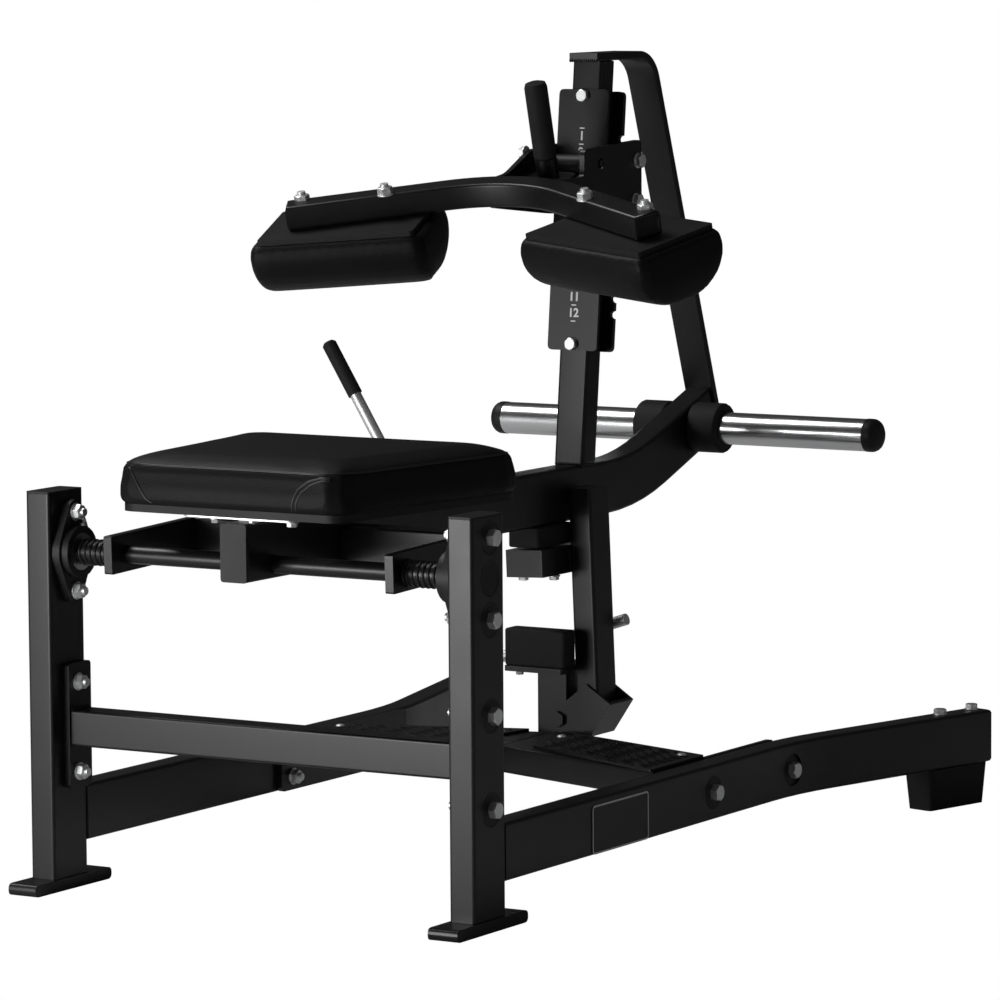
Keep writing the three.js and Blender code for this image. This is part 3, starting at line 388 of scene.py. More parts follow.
FINISHES = {
    "black_paint": Finish("satin_black_coat", (0.0045, 0.0045, 0.0048), (0.0075, 0.0075, 0.008), 0.36,
                          swing=0.05, specular=0.42, scale=1100.0, depth=0.00003),
    "black_plastic": Finish("moulded_black_plastic", (0.008, 0.008, 0.0085), (0.013, 0.013, 0.0135), 0.5,
                            specular=0.3, scale=1600.0, depth=0.00003),
    "black_rubber": Finish("matte_black_rubber", (0.010, 0.010, 0.010), (0.016, 0.016, 0.016), 0.68,
                           specular=0.25, scale=1300.0, depth=0.00005),
    "zinc": Finish("bright_zinc", (0.78, 0.79, 0.80), (0.90, 0.90, 0.89), 0.48, swing=0.08,
                   metallic=0.9, scale=500.0, depth=0.00003),
    "bright_steel": Finish("ground_steel", (0.42, 0.42, 0.43), (0.55, 0.55, 0.56), 0.3, swing=0.08,
                           metallic=1.0, scale=700.0, depth=0.00002),
    "cast_black": Finish("painted_casting", (0.008, 0.008, 0.009), (0.016, 0.016, 0.017), 0.5,
                         specular=0.35, scale=350.0, depth=0.00025),
    "chrome": Finish("mirror_chrome", (0.66, 0.67, 0.68), (0.74, 0.74, 0.75), 0.22, swing=0.05,
                     metallic=1.0, scale=60.0, depth=0.000004),
    "black_vinyl": Finish("black_vinyl", (0.0026, 0.0026, 0.0029), (0.005, 0.005, 0.0054), 0.52, swing=0.06,
                          specular=0.15, scale=620.0, depth=0.0003, sheen=0.02, pebbled=True),
    "vinyl_piping": Finish("vinyl_piping", (0.003, 0.003, 0.003), (0.006, 0.006, 0.006), 0.4,
                           specular=0.5, scale=900.0, depth=0.00003),
    "board": Finish("black_board", (0.005, 0.005, 0.005), (0.010, 0.0098, 0.0095), 0.55, specular=0.3,
                    scale=420.0, depth=0.00008),
    "number_face": Finish("black_number_face", (0.005, 0.005, 0.0055), (0.008, 0.008, 0.009), 0.36,
                          specular=0.4, scale=1400.0, depth=0.00002),
    "white_print": Finish("white_print", (0.74, 0.74, 0.73), (0.82, 0.82, 0.81), 0.5, scale=1200.0),
    "tread_black": Finish("tread_black", (0.004, 0.004, 0.004), (0.009, 0.009, 0.009), 0.6, specular=0.3,
                          scale=520.0, depth=0.00035),
}


class Paintbox:
    """The finishes as built materials, looked up by name."""

    def __init__(self) -> None:
        """Build every finish once."""
        effects = Effects()
        self.materials = {name: finish.material(effects) for name, finish in FINISHES.items()}

    def __getitem__(self, name: str) -> Material:
        """Return the material of a finish."""
        return self.materials[name]

@dataclass
class CadSkins:
    """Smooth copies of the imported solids, each in the finish of its record slot."""

    paints: Paintbox
    smooth_degrees: float = 48.0
    skipped: tuple[str, ...] = ("seat_cushion", "thigh_pad_right", "thigh_pad_left")

    def build(self) -> None:
        """Make a skin for every solid that isn't upholstery."""
        slots = {part["node"]: part["material_slot"] for part in frame["record"]["subparts"]}
        for node, slot in slots.items():
            if node in self.skipped:
                continue
            skin = merged_copy(node, f"{node}.skin")
            soften(skin, self.smooth_degrees)
            dress(skin, self.paints[slot], NODE_BODY[node])
            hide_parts(node)
        log.info("skins: %d solids dressed", len(slots) - len(self.skipped))


def merged_copy(node: str, name: str) -> Object:
    """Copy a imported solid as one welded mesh.

    Args:
        node: The solid's node.
        name: The copy's name.

    Returns:
        The copy, at the origin.
    """
    source = frame["nodes"][node]
    copy = bpy.data.objects.new(name, source.data.copy())
    copy.data.name = name
    bpy.context.scene.collection.objects.link(copy)
    select_only(copy)
    if copy.data.has_custom_normals:
        bpy.ops.mesh.customdata_custom_splitnormals_clear()
    with editing():
        bpy.ops.mesh.select_all(action="SELECT")
        bpy.ops.mesh.remove_doubles(threshold=WELD_DISTANCE)
        bpy.ops.mesh.dissolve_limited(angle_limit=math.radians(FLAT_DEGREES))
    return copy


@dataclass
class Upholstery:
    """A cushion on its board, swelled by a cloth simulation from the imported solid's form."""

    node: str
    board_normal: Vector
    paints: Paintbox
    growth: float = 2.5
    cap: float = 5.0
    voxel: float = 5.0
    pressure: float = 4.0
    stretch: float = 15.0
    bending: float = 0.5
    mass: float = 0.3
    quality: int = 4
    frames: int = 20
    pinned: float = 9.0
    evening_rounds: int = 12
    fill: float = 0.85

    def build(self) -> Object:
        """Make the cushion.

        Returns:
            The finished cushion, which stands for its solid.
        """
        pad = merged_copy(self.node, f"{self.node}.pad")
        plane = max(self.board_normal.dot(vertex.co) for vertex in pad.data.vertices)
        low, high = (Vector(corner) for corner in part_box(self.node))
        middle = middle_of(self.node)
        factors = [(length + 2 * self.growth * MM) / length for length in high - low]
        grown = Matrix.Diagonal((*factors, 1.0))
        settle(pad, Matrix.Translation(middle) @ grown @ Matrix.Translation(-middle))
        remesh = pad.modifiers.new("even_cloth", "REMESH")
        remesh.mode = "VOXEL"
        remesh.voxel_size = self.voxel * MM
        apply_modifier(pad, remesh.name)
        self._swell(pad, plane)
        self._seat_on_board(pad, plane)
        fine = pad.modifiers.new("fine_cloth", "SUBSURF")
        fine.levels = 1
        fine.render_levels = 1
        apply_modifier(pad, fine.name)
        shade_round(pad)
        dress(pad, self.paints["black_vinyl"], NODE_BODY[self.node])
        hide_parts(self.node)
        log.info("upholstery: %s, %d faces", pad.name, len(pad.data.polygons))
        return pad

    def _swell(self, pad: Object, plane: float) -> None:
        """Blow the cloth up from inside, held at the board and within the cap of where it started.

        Args:
            pad: The cushion.
            plane: How far along the board's normal the board's face lies.
        """
        held = pad.vertex_groups.new(name="held")
        near_board = plane - self.pinned * MM
        rim = [vertex.index for vertex in pad.data.vertices if self.board_normal.dot(vertex.co) > near_board]
        held.add(rim, 1.0, "REPLACE")
        cloth = pad.modifiers.new("cloth", "CLOTH")
        settings = cloth.settings
        settings.quality = self.quality
        settings.mass = self.mass
        settings.tension_stiffness = self.stretch
        settings.compression_stiffness = self.stretch
        settings.bending_stiffness = self.bending
        settings.vertex_group_mass = held.name
        settings.use_pressure = True
        settings.uniform_pressure_force = self.pressure
        settings.effector_weights.gravity = 0.0
        cloth.point_cache.frame_start = 1
        cloth.point_cache.frame_end = self.frames
        for step in range(1, self.frames + 1):
            bpy.context.scene.frame_set(step)
        swelled = pad.evaluated_get(bpy.context.evaluated_depsgraph_get())
        reach = self.cap * MM
        moves = []
        for vertex, end in zip(pad.data.vertices, swelled.data.vertices):
            move = end.co - vertex.co
            moves.append(move.normalized() * reach if move.length > reach else move)
        pad.modifiers.remove(cloth)
        bpy.context.scene.frame_set(1)
        for vertex, move in zip(pad.data.vertices, self._evened(pad, moves)):
            vertex.co += move

    def _evened(self, pad: Object, moves: list[Vector]) -> list[Vector]:
        """Average every vertex's move with its neighbours' moves, so that the cloth bulges without ripples.

        Args:
            pad: The cushion.
            moves: The move of each of its vertices.

        Returns:
            The averaged moves, in the same order.
        """
        neighbours = [[] for _ in moves]
        for edge in pad.data.edges:
            one, other = edge.vertices
            neighbours[one].append(other)
            neighbours[other].append(one)
        for _ in range(self.evening_rounds):
            moves = [
                sum((moves[near] for near in around), move) / (len(around) + 1)
                for move, around in zip(moves, neighbours)
            ]
        return moves

    def _seat_on_board(self, pad: Object, plane: float) -> None:
        """Press what reaches past the board's face back onto it."""
        for vertex in pad.data.vertices:
            past = self.board_normal.dot(vertex.co) - plane
            if past > 0:
                vertex.co -= self.board_normal * past


@dataclass
class Seams:
    """Piping and stitched seams laid on the finished seat."""

    paints: Paintbox
    cord_radius: float = 1.9
    sunk_share: float = 0.35
    spacing: float = 6.0
    edge_share: float = 0.87
    level_slack: float = 0.4
    rear_y: float = -46.0
    rear_seams: tuple[tuple[tuple[float, float], ...], ...] = (
        ((-166.0, 610.0), (-155.6, 602.1), (-141.0, 582.4), (-128.0, 565.0), (-119.0, 557.5)),
        ((170.0, 612.0), (150.9, 608.7), (133.0, 601.5), (117.4, 589.8), (110.5, 574.0), (108.6, 558.9)),
        ((170.0, 606.5), (153.0, 603.5), (137.0, 596.5), (123.0, 585.8), (116.5, 572.0), (114.6, 558.9)),
    )

    def build(self, pad: Object, node: str) -> None:
        """Lay the piping round the seat and the seams of its rear face.

        Args:
            pad: The finished seat.
            node: The seat's node.
        """
        self.pipe(pad, self._ring(node, self.edge_share), "seat_piping", NODE_BODY[node], True)
        for index, seam in enumerate(self.rear_seams):
            route = self._along([spot(x, self.rear_y, z) for x, z in seam])
            self.pipe(pad, route, f"seat_seam_{index}", NODE_BODY[node], False)
        log.info("seams: %d", 1 + len(self.rear_seams))

    def _ring(self, node: str, share: float) -> list[Vector]:
        """Return the points of a packed cushion that lie at a share of its height, in order round it."""
        points = [vertex.co.copy() for vertex in frame["nodes"][node].data.vertices]
        low = min(point.z for point in points)
        high = max(point.z for point in points)
        level = low + share * (high - low)
        near = [point for point in points if abs(point.z - level) < self.level_slack * MM]
        places = [Vector(place) for place in {tuple(round(c, 5) for c in point) for point in near}]
        middle = sum(places, Vector()) / len(places)
        return sorted(places, key=lambda place: math.atan2(place.y - middle.y, place.x - middle.x))

    def _along(self, corners: list[Vector]) -> list[Vector]:
        """Return evenly spaced points along a line through the given corners."""
        route = []
        for start, end in zip(corners, corners[1:]):
            count = max(1, round((end - start).length / (self.spacing * MM)))
            route += [start.lerp(end, step / count) for step in range(count)]
        return route + [corners[-1]]

    def pipe(self, pad: Object, route: list[Vector], name: str, body: str, closed: bool) -> None:
        """Lay a thin cord along a route on a cushion.

        Args:
            pad: The finished cushion.
            route: Points near the cushion's surface.
            name: The cord's name.
            body: The body that it rides on.
            closed: Whether the cord runs back to its start.
        """
        tree = BVHTree.FromObject(pad, bpy.context.evaluated_depsgraph_get())
        curve = bpy.data.curves.new(name, "CURVE")
        curve.dimensions = "3D"
        curve.bevel_depth = self.cord_radius * MM
        curve.bevel_resolution = 2
        spline = curve.splines.new("POLY")
        spline.points.add(len(route) - 1)
        for point, place in zip(spline.points, route):
            nearest, normal, _, _ = tree.find_nearest(place)
            point.co = (*(nearest - normal * self.cord_radius * self.sunk_share * MM), 1.0)
        spline.use_cyclic_u = closed
        cord = bpy.data.objects.new(name, curve)
        bpy.context.scene.collection.objects.link(cord)
        select_only(cord)
        bpy.ops.object.convert(target="MESH")
        cord = bpy.context.view_layer.objects.active
        cord.name = name
        shade_round(cord)
        dress(cord, self.paints["vinyl_piping"], body)


@dataclass(frozen=True)
class Size:
    """A fastener's head width, head height and washer radius (0 for no washer), in millimetres."""

    width: float
    height: float = 0.0
    washer: float = 0.0


@dataclass(frozen=True)
class Stand:
    """Where a fastener meets its surface, the way it points, its name and the body that it rides on."""

    name: str
    place: Vector
    axis: Vector
    body: str


@dataclass
class Fasteners:
    """Hex bolts, dished plugs, nuts, grease nipples and round head screws."""

    paints: Paintbox
    bevel: float = 0.6
    bevel_degrees: float = 50.0
    smooth_degrees: float = 35.0
    washer_height: float = 2.0
    made: int = 0

    def _cylinder(self, sides: int, radius: float, height: float, base: float) -> Object:
        """Add a cylinder that stands on a height, with its edges bevelled.

        Args:
            sides: Number of sides.
            radius: Radius in millimetres.
            height: Height in millimetres.
            base: Height of its foot in millimetres.

        Returns:
            The cylinder.
        """
        part = primitive("cylinder", vertices=sides, radius=radius * MM, depth=height * MM)
        settle(part, Matrix.Translation(UP * (base + height / 2) * MM))
        edge = part.modifiers.new("edge", "BEVEL")
        edge.width = min(self.bevel, height / 4) * MM
        edge.segments = 2
        edge.limit_method = "ANGLE"
        edge.angle_limit = math.radians(self.bevel_degrees)
        apply_modifier(part, edge.name)
        return part

    @staticmethod
    def _combine(part: Object, tool: Object, operation: str) -> None:
        """Cut a part by a tool, or keep what both share, and remove the tool."""
        combined = part.modifiers.new("combined", "BOOLEAN")
        combined.operation = operation
        combined.object = tool
        apply_modifier(part, combined.name)
        bpy.data.objects.remove(tool)

    def _hex_head(self, width: float, height: float, base: float, turn: float) -> Object:
        """Make a hex head whose corners are turned off at the top.

        Args:
            width: Width over the flats in millimetres.
            height: Head height in millimetres.
            base: Height of its underside in millimetres.
            turn: Degrees that it is turned about its axis.

        Returns:
            The head.
        """
        foot_share = 1.2
        top_share = 0.47
        corner = width / math.sqrt(3)
        head = primitive("cylinder", vertices=6, radius=corner * MM, depth=height * MM)
        cone = primitive("cone", vertices=48, radius1=(corner + height * foot_share) * MM,
                         radius2=width * top_share * MM, depth=height * MM)
        self._combine(head, cone, "INTERSECT")
        settle(head, Matrix.Translation(UP * (base + height / 2) * MM))
        settle(head, Matrix.Rotation(math.radians(turn), 4, "Z"))
        return head

    def _finish(self, parts: list[Object], stand: Stand, paint: str = "zinc") -> None:
        """Join a fastener's parts, put it in place and dress it."""
        whole = join(parts, stand.name)
        settle(whole, facing(stand.axis, stand.place))
        soften(whole, self.smooth_degrees)
        dress(whole, self.paints[paint], stand.body)
        self.made += 1

    def bolt(self, stand: Stand, size: Size, turn: float) -> None:
        """Add a zinc hex bolt, on a flat washer if it has one.

        Args:
            stand: Where it stands.
            size: Its sizes.
            turn: Degrees that its head is turned about its axis.
        """
        base = self.washer_height if size.washer else 0.0
        rings = [self._cylinder(32, size.washer, self.washer_height, 0.0)] if size.washer else []
        self._finish([self._hex_head(size.width, size.height, base, turn), *rings], stand)

    def nut(self, stand: Stand, size: Size, turn: float) -> None:
        """Add a zinc nut and washer with the end of its bolt showing.

        Args:
            stand: Where it stands.
            size: Its width. Its other sizes follow from that.
            turn: Degrees that it is turned about its axis.
        """
        stud_share = 0.31
        washer_share = 0.66
        stud_end = 5.0
        height = size.width / 2
        nut = self._hex_head(size.width, height, self.washer_height, turn)
        stud = self._cylinder(24, size.width * stud_share, height + stud_end, self.washer_height)
        washer = self._cylinder(32, size.width * washer_share, self.washer_height, 0.0)
        self._finish([nut, stud, washer], stand)

    def button(self, stand: Stand, size: Size, turn: float) -> None:
        """Add a round head screw with a hex socket.

        Args:
            stand: Where it stands.
            size: Its sizes.
            turn: Degrees that its socket is turned about its axis.
        """
        socket_share = 0.21
        head = primitive("uv_sphere", segments=32, ring_count=16, radius=size.width / 2 * MM)
        settle(head, Matrix.Diagonal((1.0, 1.0, 2 * size.height / size.width, 1.0)))
        with editing():
            bpy.ops.mesh.select_all(action="SELECT")
            bpy.ops.mesh.bisect(plane_co=(0, 0, 0), plane_no=UP, use_fill=True, clear_inner=True)
        socket = primitive("cylinder", vertices=6, radius=size.width * socket_share * MM,
                           depth=size.height * MM)
        lift = Matrix.Translation(UP * size.height * MM)
        settle(socket, lift @ Matrix.Rotation(math.radians(turn), 4, "Z"))
        self._combine(head, socket, "DIFFERENCE")
        self._finish([head], stand)

    def plug(self, stand: Stand, size: Size, turn: float, bolted: bool = False) -> None:
        """Add a black dished plug that fills a counterbore.

        Args:
            stand: Where it stands, on the counterbore's floor.
            size: Its sizes.
            turn: Degrees that it is turned about its axis.
            bolted: Whether it rises again in the middle, where a bolt sits.
        """
        rim_share = 0.07
        wall_share = 0.1
        dip_share = 0.35
        slope_share = 0.3
        rise_share = 0.75
        radius = size.width / 2
        plug = primitive("cylinder", vertices=64, radius=radius * MM, depth=size.height * MM)
        lift = Matrix.Translation(UP * size.height / 2 * MM)
        settle(plug, lift @ Matrix.Rotation(math.radians(turn), 4, "Z"))
        for face in plug.data.polygons:
            face.select = face.normal.z > FACING_SHARE
        with editing():
            inset(radius * rim_share, 0.0)
            inset(radius * wall_share, -size.height * dip_share)
            if bolted:
                inset(radius * slope_share, size.height * rise_share)
        self._finish([plug], stand, "black_plastic")

    def dish(self, stand: Stand, size: Size, turn: float) -> None:
        """Add a dished plug that a bolt sits on."""
        self.plug(stand, size, turn, True)

    def nipple(self, stand: Stand) -> None:
        """Add a grease nipple: a small hex with a ball on a neck."""
        width = 8.0
        step = 4.0
        neck_radius = 2.2
        ball_radius = 3.0
        ball_height = 9.0
        hexagon = self._hex_head(width, step, 0.0, 0.0)
        neck = self._cylinder(20, neck_radius, step, step)
        ball = primitive("uv_sphere", segments=20, ring_count=12, radius=ball_radius * MM)
        settle(ball, Matrix.Translation(UP * ball_height * MM))
        self._finish([hexagon, neck, ball], stand)


@dataclass(frozen=True)
class Row:
    """Like fasteners, placed in millimetres as on the right side of the machine.

    Each head is turned by the first angle and by the step more than the one before it, in degrees.
    """

    make: Callable
    name: str
    body: str
    axis: Vector
    size: Size
    places: tuple[tuple[float, float, float], ...]
    first: float = 0.0
    step: float = 0.0


RECESS = Size(46.8, 2.2)
RECESS_BOLT = Size(21.0, 11.0)
RECESS_FLOOR = 360.5
BOLT_SEAT = 363.5
UPRIGHT_PLACES = ((45.0, 529.0), (45.0, 419.0), (45.0, 290.5), (45.0, 164.5))
RAIL_PLACES = ((652.0, 102.0), (886.0, 102.0))
SIDE_ROWS = (
    Row(Fasteners.dish, "upright_dish", "base", OUTWARD, RECESS,
        tuple((RECESS_FLOOR, *place) for place in UPRIGHT_PLACES)),
    Row(Fasteners.bolt, "upright_bolt", "base", OUTWARD, RECESS_BOLT,
        tuple((BOLT_SEAT, *place) for place in UPRIGHT_PLACES), 15.0, 23.0),
    Row(Fasteners.plug, "upright_plug", "base", OUTWARD, RECESS, ((RECESS_FLOOR, 45.0, 474.0),)),
    Row(Fasteners.dish, "rail_dish", "base", OUTWARD, RECESS,
        tuple((RECESS_FLOOR, *place) for place in RAIL_PLACES)),
    Row(Fasteners.bolt, "rail_bolt", "base", OUTWARD, RECESS_BOLT,
        tuple((BOLT_SEAT, *place) for place in RAIL_PLACES), 10.0, 31.0),
    Row(Fasteners.bolt, "rail_end_bolt", "base", UP, Size(17.0, 7.0, 11.0),
        ((426.0, 1242.0, 142.0), (444.0, 1312.0, 142.0)), 0.0, 20.0),
    Row(Fasteners.nut, "bearing_nut", "base", INWARD, Size(19.0),
        ((310.2, 45.0, 529.0), (310.2, 45.0, 419.0)), 12.0, 20.0),
    Row(Fasteners.nut, "crossbar_nut", "base", INWARD, Size(19.0),
        ((312.2, 48.0, 291.0), (312.2, 48.0, 165.0)), 25.0, 17.0),
    Row(Fasteners.nut, "footrest_nut", "base", INWARD, Size(19.0),
        ((314.2, 590.0, 82.0), (314.2, 886.0, 82.0)), 8.0, 23.0),
    Row(Fasteners.button, "tread_screw", "base", UP, Size(14.0, 3.0),
        tuple((x, y, TREAD_TOP_Z) for x, y in TREAD_SCREWS)),
    Row(Fasteners.nut, "pad_nut", "pad_carriage", YOKE_UP, Size(20.0),
        ((288.5, 592.9, 931.06), (168.6, 630.3, 943.26)), 0.0, 14.0),
)
MIDDLE_ROWS = (
    Row(Fasteners.bolt, "footrest_bolt", "base", DOWN, Size(13.0, 6.0, 9.0), ((60.0, 735.0, 101.8),)),
    Row(Fasteners.bolt, "stop_plate_bolt", "base", DOWN, Size(10.0, 6.0), ((-33.0, 775.0, 235.9),)),
    Row(Fasteners.bolt, "seat_bolt_0", "arm", DOWN, Size(10.0, 5.0, 7.0), ((-39.0, -9.0, 540.0),)),
    Row(Fasteners.bolt, "seat_bolt_1", "arm", DOWN, Size(8.0, 5.0, 5.6), ((16.0, -3.0, 540.0),), 20.0),
    Row(Fasteners.bolt, "seat_bolt_2", "arm", DOWN, Size(13.0, 5.0, 9.1), ((82.0, -4.0, 540.0),), 40.0),
    Row(Fasteners.bolt, "gusset_bolt", "pad_carriage", INWARD, Size(17.0, 8.0, 11.0),
        ((-52.0, 835.3, 997.2),)),
)


@dataclass
class FrameFasteners:
    """Every bolt, nut and screw of the machine, in millimetres from the uprights' rear face."""

    fasteners: Fasteners
    nipple_axis: Vector = Vector((0, 0.35, 1)).normalized()
    nipple_depth: float = 7.0
    nipple_height: float = 35.6
    plate_bolt: Size = Size(17.0, 8.0)
    plate_bolt_zs: tuple[float, ...] = (1079.0, 713.0)
    plate_bolt_turn: float = 12.0
    plate_thickness: float = 5.3
    guide_bolt: Size = Size(19.0, 8.0, 11.5)
    guide_bolt_x: float = 52.0
    guide_turn: float = 9.0
    guide_turn_step: float = 28.0
    catch_bolt: Size = Size(13.0, 5.0, 9.0)
    catch_bolt_turn: float = 10.0
    catch_bolts: tuple[tuple[float, ...], ...] = ((-14.0, 22.0, 1.2), (24.0, 46.0, 1.2))
    stop_screw: Size = Size(8.0, 1.5)
    stop_screws: tuple[tuple[float, ...], ...] = ((18.0, 0.25, 0.2), (18.0, 0.75, 0.2))

    def build(self) -> None:
        """Place them all."""
        for side in Side:
            self._guides(side)
            self._nipple(side)
            for row in SIDE_ROWS:
                self._row(row, side.value, f"_{SIDE_NAMES[side]}")
        for row in MIDDLE_ROWS:
            self._row(row, 1, "")
        for index, z in enumerate(self.plate_bolt_zs):
            place = MAST_FACE.place(z, self.plate_thickness)
            stand = Stand(f"number_plate_bolt_{index}", place, MAST_FACE.rearwards(), "arm")
            self.fasteners.bolt(stand, self.plate_bolt, self.plate_bolt_turn)
        self._catch()
        log.info("fasteners: %d", self.fasteners.made)

    def _row(self, row: Row, sign: int, label: str) -> None:
        """Place a row of like fasteners, mirrored to the left if the sign is -1.

        Args:
            row: The row.
            sign: The sign of X.
            label: What its name says of the side.
        """
        mirror = Matrix.Diagonal((sign, 1.0, 1.0))
        for index, place in enumerate(row.places):
            number = f"_{index}" if len(row.places) > 1 else ""
            name = f"{row.name}{label}{number}"
            stand = Stand(name, mirror @ spot(*place), mirror @ row.axis, row.body)
            row.make(self.fasteners, stand, row.size, row.first + row.step * index)

    def _guides(self, side: Side) -> None:
        """Bolts at the ends of the carriage's guide pins."""
        for index, pin in enumerate(("guide_pin_upper", "guide_pin_lower")):
            place = middle_of(pin)
            place.x = side.value * self.guide_bolt_x * MM
            stand = Stand(f"guide_bolt_{SIDE_NAMES[side]}_{index}", place, Vector((side.value, 0, 0)),
                          "pad_carriage")
            self.fasteners.bolt(stand, self.guide_bolt, self.guide_turn + self.guide_turn_step * index)

    def _nipple(self, side: Side) -> None:
        """Grease nipple that leans forwards on top of a bearing housing."""
        housing = f"bearing_housing_{SIDE_NAMES[side]}"
        low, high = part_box(housing)
        place = middle_of(housing) + self.nipple_axis * self.nipple_height * MM
        place.x = (low[0] if side is Side.RIGHT else high[0]) + side.value * self.nipple_depth * MM
        self.fasteners.nipple(Stand(f"grease_nipple_{SIDE_NAMES[side]}", place, self.nipple_axis, "base"))

    def _catch(self) -> None:
        """Bolts under the catch block and screws under the beam's rubber stop."""
        low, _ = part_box("catch_block")
        for index, (x, y, z) in enumerate(self.catch_bolts):
            place = Vector((x * MM, low[1] + y * MM, low[2] + z * MM))
            self.fasteners.bolt(Stand(f"catch_block_bolt_{index}", place, DOWN, "catch"), self.catch_bolt,
                                self.catch_bolt_turn)
        low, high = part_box("arm_bumper")
        for index, (x, share, z) in enumerate(self.stop_screws):
            place = Vector((x * MM, low[1] + (high[1] - low[1]) * share, low[2] + z * MM))
            self.fasteners.button(Stand(f"stop_screw_{index}", place, DOWN, "arm"), self.stop_screw, 0.0)


@dataclass
class Numerals:
    """White numerals and dashes on the number plate."""

    paints: Paintbox
    first_z: float = 1019.7
    pitch: float = 23.7
    count: int = 12
    size: float = 18.0
    boldness: float = 0.55
    thickness: float = 0.25
    above: float = 5.32
    dash_length: float = 8.0
    dash_width: float = 1.8

    def build(self) -> None:
        """Print the numerals as one piece that rides on the arm."""
        parts = []
        for index in range(self.count):
            z = self.first_z - index * self.pitch
            parts.append(self._number(str(index + 1), z))
            parts.append(self._dash(z - self.pitch / 2))
        parts.append(self._dash(self.first_z + self.pitch / 2))
        whole = join(parts, "height_numerals")
        dress(whole, self.paints["white_print"], "arm")
        log.info("numerals: %d", self.count)

    def _plate_matrix(self, z: float) -> Matrix:
        """Return the matrix that lays flat work, read along +X, on the plate at a height above the floor."""
        turned = Euler((math.pi / 2 - MAST_FACE.lean, 0, 0)).to_matrix().to_4x4()
        return Matrix.Translation(MAST_FACE.place(z, self.above)) @ turned

    def _number(self, text: str, z: float) -> Object:
        """Make one numeral, centred on its mark."""
        bpy.ops.object.select_all(action="DESELECT")
        bpy.ops.object.text_add(location=(0, 0, 0))
        label = bpy.context.view_layer.objects.active.data
        label.body = text
        label.size = self.size * MM
        label.align_x = "CENTER"
        label.align_y = "CENTER"
        label.extrude = self.thickness * MM / 2
        label.offset = self.boldness * MM
        label.resolution_u = 4
        bpy.ops.object.convert(target="MESH")
        made = bpy.context.view_layer.objects.active
        settle(made, self._plate_matrix(z))
        return made

    def _dash(self, z: float) -> Object:
        """Make one short dash between two numerals."""
        dash = primitive("cube", size=1)
        size = (self.dash_length * MM, self.dash_width * MM, self.thickness * MM)
        settle(dash, self._plate_matrix(z) @ Matrix.Diagonal((*size, 1.0)))
        return dash


@dataclass
class EndPlugs:
    """Thin plugs with a raised rim that close the open ends of the frame's tubes."""

    paints: Paintbox
    thickness: float = 1.2
    inset: float = 1.6
    rim: float = 3.0
    dip: float = 0.6
    turn_degrees: float = 4.0
    reach: float = 30.0
    flat: float = 0.2
    smooth_degrees: float = 35.0

    def build(self) -> None:
        """Plug both ends of the yoke and the front ends of the rails."""
        for side in Side:
            name = SIDE_NAMES[side]
            self._plug("pad_yoke", Vector((side.value, 0, 0)), 45.0, f"yoke_plug_{name}", "pad_carriage")
            self._plug(f"base_rail_{name}", Vector((0, 1, 0)), 25.0, f"rail_plug_{name}", "base")
        log.info("end plugs: %d", 2 * len(Side))

    def _plug(self, node: str, outwards: Vector, cone: float, name: str, body: str) -> None:
        """Close one end of a tube.

        Args:
            node: The tube's node.
            outwards: Roughly the way its end faces.
            cone: The end's face lies within this many degrees of that way.
            name: The plug's name.
            body: The body that it rides on.
        """
        plug = merged_copy(node, name)
        faces = [face for face in plug.data.polygons if face.normal.angle(outwards) < math.radians(cone)]
        tip = max(outwards.dot(face.center) for face in faces)
        near = [face for face in faces if outwards.dot(face.center) > tip - self.reach * MM]
        end = max(near, key=lambda face: face.area)
        facing_out = end.normal.copy()
        kept = {
            face.index for face in near
            if face.normal.angle(facing_out) < math.radians(self.turn_degrees)
            and abs(facing_out.dot(face.center - end.center)) < self.flat * MM
        }
        for face in plug.data.polygons:
            face.select = face.index not in kept
        select_only(plug)
        with editing():
            bpy.ops.mesh.delete(type="FACE")
            bpy.ops.mesh.select_all(action="SELECT")
            inset(self.inset, 0.0)
            bpy.ops.mesh.select_all(action="INVERT")
            bpy.ops.mesh.delete(type="FACE")
            bpy.ops.mesh.select_all(action="SELECT")
            bpy.ops.mesh.extrude_region_move(
                TRANSFORM_OT_translate={"value": tuple(facing_out * self.thickness * MM)},
            )
            inset(self.rim, 0.0)
            inset(self.dip, -self.dip)
        soften(plug, self.smooth_degrees)
        dress(plug, self.paints["black_plastic"], body)


